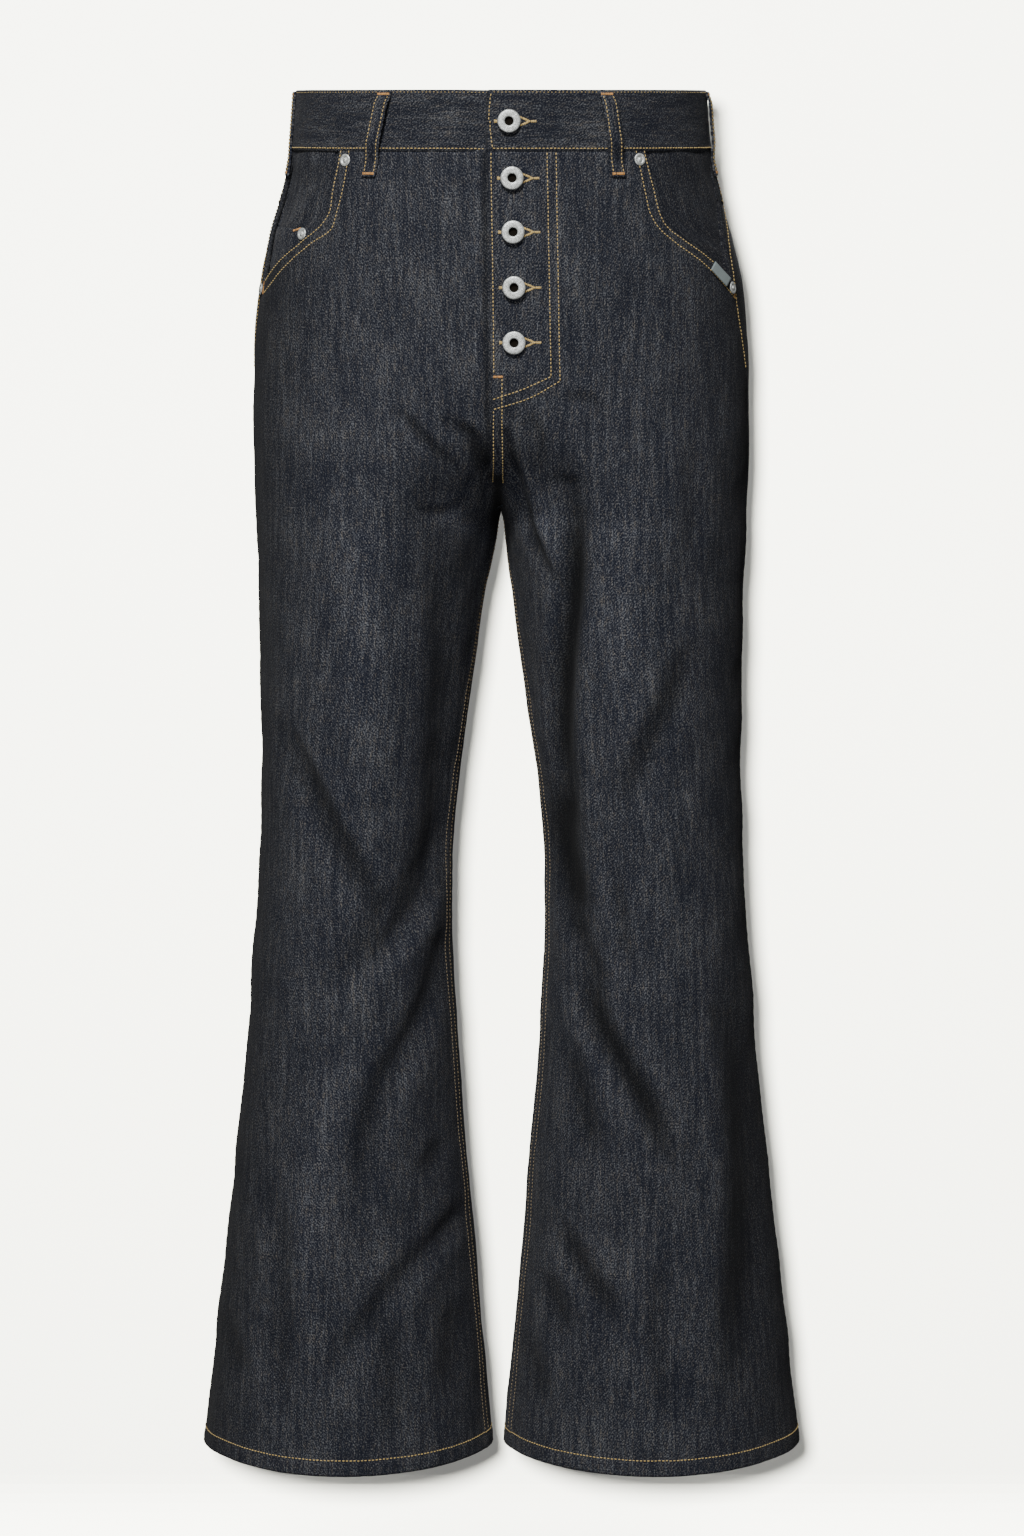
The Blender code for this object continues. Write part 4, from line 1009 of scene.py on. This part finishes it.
# Rows on the two fronts: pockets, fly, centre seam, inseams and hems
leg_z = np.linspace(CROTCH - 4 * MM, HEM + HEM_DEPTH + 1.5 * MM, 620)
hem_z = np.full(700, HEM + HEM_DEPTH)
hip_z = np.linspace(PANEL_TOP, -190 * MM, 160)
yoke_z, back_z = hip_z[hip_z > YOKE_SIDE], hip_z[hip_z < YOKE_SIDE]
for side, word in SIDES:
    places = POCKET_ROWS[side] + (FLY_ROWS + CENTRE_ROWS[:1] if side > 0 else CENTRE_ROWS[1:])
    lines = [front_line(side, row) for row in places]
    closer = (1 - 0.55 * ease(leg_z, KNEE, CROTCH)) * MM
    inseam = centre_turn(side, leg_z)
    pair = [seam_line(side, inseam, arc * closer, leg_z, front_lift) for arc in INSEAM_ROWS]
    threads("inseam_" + word + "_stitches", pair, DARK_GOLD, cover=0.55, radius=INSEAM_THREAD, seed=4)
    turn = np.linspace(centre_turn(side, hem_z[0]), side_turn(side, hem_z[0]), 700)
    lines.append(cloth(side, turn, hem_z, front_lift(side, turn, hem_z)))
    threads("front_" + word + "_stitches", lines, GOLD)

    # Rows on the backs: side seams at the hip, yoke, centre seam and hems
    lines = [seam_line(side, side_turn(side, yoke_z), 13 * MM, yoke_z, yoke_lift)]
    arc = (2.6 + 10.4 * ease(back_z, -105 * MM, YOKE_SIDE)) * MM
    lines.append(seam_line(side, side_turn(side, back_z), arc, back_z, back_lift))
    turn = np.linspace(side_turn(side, hem_z[0]), centre_turn(side, hem_z[0], True), 700)
    lines.append(cloth(side, turn, hem_z, back_lift(side, turn, hem_z)))
    part = np.linspace(0.01, 0.99, 260)
    for rise in YOKE_ROWS:
        level = yoke_line(part) + rise * MM
        turn = side_turn(side, level) + part * (centre_turn(side, level, True) - side_turn(side, level))
        lines.append(cloth(side, turn, level, yoke_lift(side, turn, level)))
    if side > 0:
        seat = np.linspace(PANEL_TOP, CROTCH + 4 * MM, 320)
        high, low = seat[seat > YOKE_CENTRE], seat[seat <= YOKE_CENTRE]
        for arc in SEAT_ROWS:
            lines.append(seam_line(side, centre_turn(side, high, True), -arc * MM, high, yoke_lift))
            lines.append(seam_line(side, centre_turn(side, low, True), -arc * MM, low, back_lift))
    threads("back_" + word + "_stitches", lines, GOLD, seed=5)

    # Rows on the back pockets: the hemmed top's two and the double row round the other edges
    lines = []
    for inset in BACK_POCKET_ROWS:
        low, near = 1 - inset * MM / POCKET_DEPTH, inset * MM / POCKET_WIDTH
        corners = ((near, near, 0.5, 1 - near, 1 - near), (0.004, low, low, low, 0.004))
        part, row = (np.interp(np.linspace(0, 3, 330), (0, 1, 1.5, 2, 3), places) for places in corners)
        lines.append(back_pocket_cloth(side, row, part, inset * MM, False)[0])
    part = np.linspace(0.012, 0.988, 150)
    for row_at in POCKET_TOP_ROWS:
        rim = np.minimum(part, 1 - part) * POCKET_WIDTH
        lines.append(back_pocket_cloth(side, np.full(150, row_at), part, rim, True)[0])
    threads("back_pocket_" + word + "_stitches", lines, GOLD, seed=7)

# Rows on the waistband: along both edges and down the buttoned end
run = band_start + (band_end - band_start) * np.linspace(0.003, 0.955, 1400)
top, low = np.full(1400, 21.3 * MM), np.full(1400, -20.6 * MM)
threads("waistband_top_stitches", [band_point(run, top, band_lift(run, top) - 0.12 * MM)], GOLD, cover=0.4,
        radius=TOP_THREAD, seed=8)
level = np.linspace(20.6, -20, 60) * MM
across = fly_edge(0) + (0.7 + 1.8 * ((level / MM - 1.5) / 20) ** 2 + 0.8 * (level < 0)) * MM
lines = [band_point(part, z, band_lift(part, z) + 0.05 * MM)
         for part, z in ((run, low), (front_part(across, level), level))]
threads("waistband_stitches", lines, GOLD, seed=9)

# Rows on the belt loops, near their edges, and the bars at their two ends
lines, bars = [], []
for loop in LOOPS:
    level = np.linspace(LOOP_TOP - 3 * MM, LOOP_BOTTOM + 3.5 * MM, 70)
    for across in (-4.0, 4.0):
        lines.append(loop_surface(loop, level, np.full(70, across * MM)))
    for level_at in (LOOP_TOP - 1.8 * MM, LOOP_BOTTOM + 2.2 * MM):
        across = np.linspace(-4.4, 4.4, 30) * MM
        bars += bar(*loop_surface(loop, np.full(30, level_at), across), width=2.1)
threads("belt_loop_stitches", lines, GOLD, radius=0.36 * MM, seed=11)

# Bars at the fly, the hip pockets' ends and the coin pocket
bars += bar(*front_line(1, ((-5, -192.7), (1.7, -192.7))))
bars += bar(*front_line(-1, ((-183.2, -123.8), (-184.2, -132.6))))
across, level = np.linspace((159.5, -83.2), (154, -81.2), 12).T * MM
bars += bar(*cloth(-1, turn_at(across, level), level, -1.75 * MM), width=1.6)
bars += bar(*front_line(1, ((178.4, -127), (180.4, -135.5))))
threads("bars", bars, ORANGE, **ONE_STITCH, radius=BAR_THREAD, seed=13)

# ---- Buttonholes ---------------------------------------------------------------------------
# Five eyelet buttonholes cut across the band and the fly, their edges bound with golden purl;
# only the far ends show beyond the buttons.
PURL_THREAD = 0.3 * MM
# Where each hole's eyelet, straight end and near end lie beyond the button's middle, in mm.
EYELET, HOLE_END, HOLE_NEAR = (8.2, 14.2), (14.2, 20.2), (-10.6, -8.6)
# Each button's height and its place across, in mm.
BUTTONS = ((-0.4, 6.2), (-42.9, 8.4), (-83.5, 9.2), (-125.5, 9.9), (-167, 10))


def fly_point(x, height, raised=0.0):
    """Places on the fly or the band's buttoned end, given in mm, and their outward directions."""
    x, height = np.broadcast_arrays(np.asarray(x) * MM, np.asarray(height) * MM)
    if height.mean() > PANEL_TOP:
        part = front_part(x, height)
        return band_point(part, height, band_lift(part, height) + raised)
    turn = turn_at(x, height)
    return cloth(1, turn, height, front_lift(1, turn, height) + raised)


purl = []
run = np.linspace(0, 1, 24)
for z, x in BUTTONS:
    for sign in (-1, 1):
        eyelet = z + sign * (2.6 * (1 - run) ** 0.8 + 0.45)
        purl += bar(*fly_point(x + np.linspace(*EYELET, 24), eyelet), width=1.7, pitch=0.5)
    purl += bar(*fly_point(x + np.linspace(*HOLE_END, 24), z), width=1.9, pitch=0.5)
    purl += bar(*fly_point(x + np.linspace(*HOLE_NEAR, 8), z), width=2.6, pitch=0.5)
threads("buttonholes", purl, GOLD, **ONE_STITCH, radius=PURL_THREAD, seed=15)

# ---- Buttons and rivets --------------------------------------------------------------------
# Silvery turned steel buttons with a rolled rim and a hollow middle painted black as shade, and small domed
# rivet caps with a nub, both scratched and slightly tarnished.
# Each profile runs from the foot over the rim to the middle, by radius and rise in mm.  A button's hollow is
# painted black as shade from its mouth inwards, which is a row of its profile.
BUTTON_PROFILE = ((0, 0), (3.4, 0), (3.4, 1.5), (7.2, 1.45), (8.1, 1.8), (8.6, 2.5), (8.7, 3.2), (8.55, 3.8),
                  (8.1, 4.15), (7.4, 4.34), (6.6, 4.4), (5.8, 4.42), (5.1, 4.42), (4.5, 4.4), (4.1, 4.34),
                  (3.65, 4.15), (3.3, 3.7), (3.15, 3.0), (3.0, 2.0), (2.4, 1.6), (1.2, 1.5), (0, 1.5))
RIVET_PROFILE = ((0, 0), (4.5, 0), (4.75, 0.3), (4.6, 0.7), (4.2, 0.95), (3.5, 1.05), (2.9, 0.95), (2.5, 0.5),
                 (2.1, 0.3), (1.85, 0.5), (1.7, 1.05), (1.35, 1.4), (0.8, 1.55), (0, 1.6))
BUTTON_MOUTH = 15
METAL_GAP = 0.1 * MM
metal_look, given, result = group("steel_look", (("Place", "Vector", (0, 0, 0)),),
                                  (("Color", "Color"), ("Roughness", "Float"), ("Height", "Float")))
pits = node(metal_look, "TexNoise", {"Vector": given["Place"], "Scale": 1500.0, "Detail": 3.0}).outputs[0]
tarnish = node(metal_look, "TexNoise", {"Vector": given["Place"], "Scale": 620.0, "Detail": 2.0}).outputs[0]
dull = risen(metal_look, tarnish, 0.35, 0.7)
mixed = node(metal_look, "Mix", {0: dull, 6: (0.86, 0.89, 0.87, 1), 7: (0.44, 0.45, 0.42, 1)},
             data_type="RGBA")
wire(metal_look, result, Color=mixed.outputs[2], Height=pits,
     Roughness=calc(metal_look, "MULTIPLY_ADD", pits, 0.3, 0.22))

STEEL, tree, shader = principled("worn_steel", Metallic=0.5)
look = node(tree, "Group", {"Place": node(tree, "TexCoord").outputs["Object"]}, node_tree=metal_look)
relief = node(tree, "Bump", {"Height": look.outputs["Height"], "Strength": 0.6, "Distance": 0.0004})
wire(tree, shader.inputs, Base_Color=look.outputs["Color"], Roughness=look.outputs["Roughness"],
     Normal=relief.outputs[0])
HOLLOW_SHADE = principled("button_hollow_painted_shade", Base_Color=(0.008, 0.006, 0.004, 1), Roughness=0.9,
                    Specular_IOR_Level=0.1)[0]


def turned(name, profile, sides, foot, outward, shade_after=99):
    """A turned piece of steel in place of its solid, its axis along the outward direction."""
    aside = np.cross((0, 0, 1), outward)
    aside /= np.linalg.norm(aside)
    up = np.cross(outward, aside)
    angle = np.arange(sides) * 2 * np.pi / sides
    points = [foot + outward * profile[0][1] * MM]
    for radius, rise in profile[1:-1]:
        points += list(foot + outward * rise * MM + radius * MM
                       * (np.cos(angle)[:, None] * aside + np.sin(angle)[:, None] * up))
    points.append(foot + outward * profile[-1][1] * MM)
    bands, last = len(profile) - 3, len(points) - 1
    faces = [(0, 1 + (j + 1) % sides, 1 + j) for j in range(sides)]
    for k in range(bands):
        for j in range(sides):
            a, b = 1 + sides * k + j, 1 + sides * k + (j + 1) % sides
            faces.append((a, b, b + sides, a + sides))
    faces += [(last - sides + j, last - sides + (j + 1) % sides, last) for j in range(sides)]
    # Faces from the given row inwards take the black of painted shade.
    slots = np.arange(len(faces)) >= sides * (1 + shade_after)
    made = mesh_piece(name + "_steel", np.array(points), faces, (STEEL, HOLLOW_SHADE)[:1 + slots[-1]], slots=slots)
    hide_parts(name)


for number, (z, x) in enumerate(BUTTONS, 1):
    foot, outward = fly_point((x,), z, METAL_GAP)
    turned(f"button_{number}", BUTTON_PROFILE, 56, foot[0], outward[0], BUTTON_MOUTH)
# Each rivet's side, its height and distance across, and how far its panel lies below the form.
RIVETS = (("rivet_left_top", -1, -29.6, 117.6, 0), ("rivet_left_side", -1, -129, 185.2, 0.7),
          ("rivet_coin_pocket", -1, -85.6, 152.6, -1.6),
          ("rivet_right_top", 1, -29, 104.8, 0), ("rivet_right_side", 1, -127.6, 177.3, 0.5))
for name, side, z, across, lift in RIVETS:
    turn = turn_at(np.array((across * MM,)), z * MM)
    foot, outward = cloth(side, turn, z * MM, lift * MM + METAL_GAP)
    turned(name, RIVET_PROFILE, 36, foot[0], outward[0])

# ---- Pocket tab ----------------------------------------------------------------------------
# A short bare piece of ribbed grey tape.  It is folded over the edge of the viewer's right hip
# pocket and caught in the pocket's rows of stitches.
tape, tree, shader = principled("grey_tape", Roughness=0.7, Sheen_Weight=0.2)
place = node(tree, "UVMap", uv_map="cloth").outputs[0]
rib = node(tree, "TexWave", {"Vector": place, "Scale": 0.55, "Distortion": 0.6, "Detail": 1.0},
           bands_direction="Y")
tone = node(tree, "Mix", {0: rib.outputs[1], 6: (0.17, 0.21, 0.21, 1), 7: (0.36, 0.42, 0.42, 1)},
            data_type="RGBA")
relief = node(tree, "Bump", {"Height": rib.outputs[1], "Strength": 0.5, "Distance": 0.0003})
wire(tree, shader.inputs, Base_Color=tone.outputs[2], Normal=relief.outputs[0])
row, part = np.meshgrid(np.linspace(0, 1, 22), np.linspace(0, 1, 12), indexing="ij")
level = (-107.5 - 13 * row - 5.6 * part) * MM
across = (162.6 + 12 * row - 3 * part) * MM
outer, outward = cloth(1, turn_at(across, level), level, 2.1 * MM)
tab = shell("pocket_tab_tape", outer, outward, 1.0 * MM, (part * 0.006, row * 0.018), (tape, tape))
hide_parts("pocket_tab")

# ---- Floor, backdrop, light and camera -----------------------------------------------------
# A sweep of pale paper close behind, which comes forward as the floor.  A big soft lamp at the
# upper left and a weak one in front light the garment, and one behind lights its back.  Two more
# light only the paper: a small one throws the crisp shadow behind, and a sun whitens the floor.
PAPER_BEHIND, FLOOR, SWEEP = 0.145, -1.175, 0.06
paper_mat, tree, shader = principled(
    "pale_paper", Base_Color=(0.8, 0.8, 0.69, 1), Roughness=0.95, Specular_IOR_Level=0.0,
    Emission_Color=(1, 1, 0.965, 1), Emission_Strength=0.2)
rays = node(tree, "LightPath")
seen = calc(tree, "MULTIPLY", rays.outputs["Is Camera Ray"],
            calc(tree, "SUBTRACT", 1.0, node(tree, "NewGeometry").outputs["Backfacing"]))
see_through = node(tree, "BsdfTransparent")
both = node(tree, "MixShader", {0: seen, 1: see_through.outputs[0], 2: shader.outputs[0]})
tree.links.new(both.outputs[0], tree.nodes["Material Output"].inputs["Surface"])
angle = np.linspace(0, np.pi / 2, 13)
profile = [(PAPER_BEHIND, 4.0)]
profile += list(zip(PAPER_BEHIND - SWEEP * (1 - np.cos(angle)), FLOOR + SWEEP * (1 - np.sin(angle))))
profile += [(-4.0, FLOOR)]
points = [(x, y, z) for x in (-5.0, 5.0) for y, z in profile]
count = len(profile)
faces = [(k, count + k, count + k + 1, k + 1) for k in range(count - 1)]
mesh = bpy.data.meshes.new("paper")
mesh.from_pydata(points, [], faces)
mesh.flip_normals()
mesh.materials.append(paper_mat)
paper = put("paper", mesh)

paper_only = bpy.data.collections.new("paper_only")
paper_only.objects.link(paper)
cloth_only = bpy.data.collections.new("garment_only")
back_only = bpy.data.collections.new("back_only")
for piece in bpy.data.objects:
    if piece.type == "MESH" and piece != paper:
        cloth_only.objects.link(piece)
        if piece.name.startswith(("back_", "yoke_", "belt_loop", "waistband")):
            back_only.objects.link(piece)


def lamp(name, kind, place, target, power, receivers, **sizes):
    """A lamp that points at a target and lights only the objects of one collection."""
    made = put(name, bpy.data.lights.new(name, kind))
    made.data.energy = power
    for key, value in sizes.items():
        setattr(made.data, key, value)
    made.location = place
    way = np.array(target) - np.array(place)
    made.rotation_euler = (math.atan2(math.hypot(way[0], way[1]), -way[2]), 0,
                           math.atan2(way[1], way[0]) - math.pi / 2)
    made.light_linking.receiver_collection = receivers


lamp("key", "AREA", (-0.9, -5.2, 4.9), (0, 0, -0.5), 632, cloth_only, shape="DISK", size=1.6)
lamp("front", "AREA", (-0.6, -3.4, -0.6), (0, 0, -0.4), 30, cloth_only, shape="DISK", size=0.8)
lamp("rear", "AREA", (0.5, 3.4, 1.6), (0, 0, -0.4), 170, back_only, shape="DISK", size=1.6)
lamp("shadow", "AREA", (-0.25, -3.6, 0.19), (0.0, 0, -0.05), 1230, paper_only, shape="DISK", size=0.36)
lamp("floor", "SUN", (0, 0, 4.0), (0, 0.001, 0), 15.0, paper_only, angle=math.radians(10))

world = bpy.data.worlds.new("surround")
world.use_nodes = True
tree = world.node_tree
shown = tree.nodes["Background"]
shown.inputs["Color"].default_value = (1, 1, 0.955, 1)
shown.inputs["Strength"].default_value = 6.4
lighting = node(tree, "Background", {"Color": (1, 1, 1, 1), "Strength": 0.07})
both = node(tree, "MixShader", {0: node(tree, "LightPath").outputs["Is Camera Ray"], 1: lighting.outputs[0],
                                2: shown.outputs[0]})
tree.links.new(both.outputs[0], tree.nodes["World Output"].inputs["Surface"])
bpy.context.scene.world = world

camera = put("camera", bpy.data.cameras.new("camera"))
camera.location = (0.0085, -3.6, -0.05)
camera.rotation_euler = (math.pi / 2 - 0.12532, 0, 0)
camera.data.lens, camera.data.sensor_width = 108.3, 36
bpy.context.scene.camera = camera
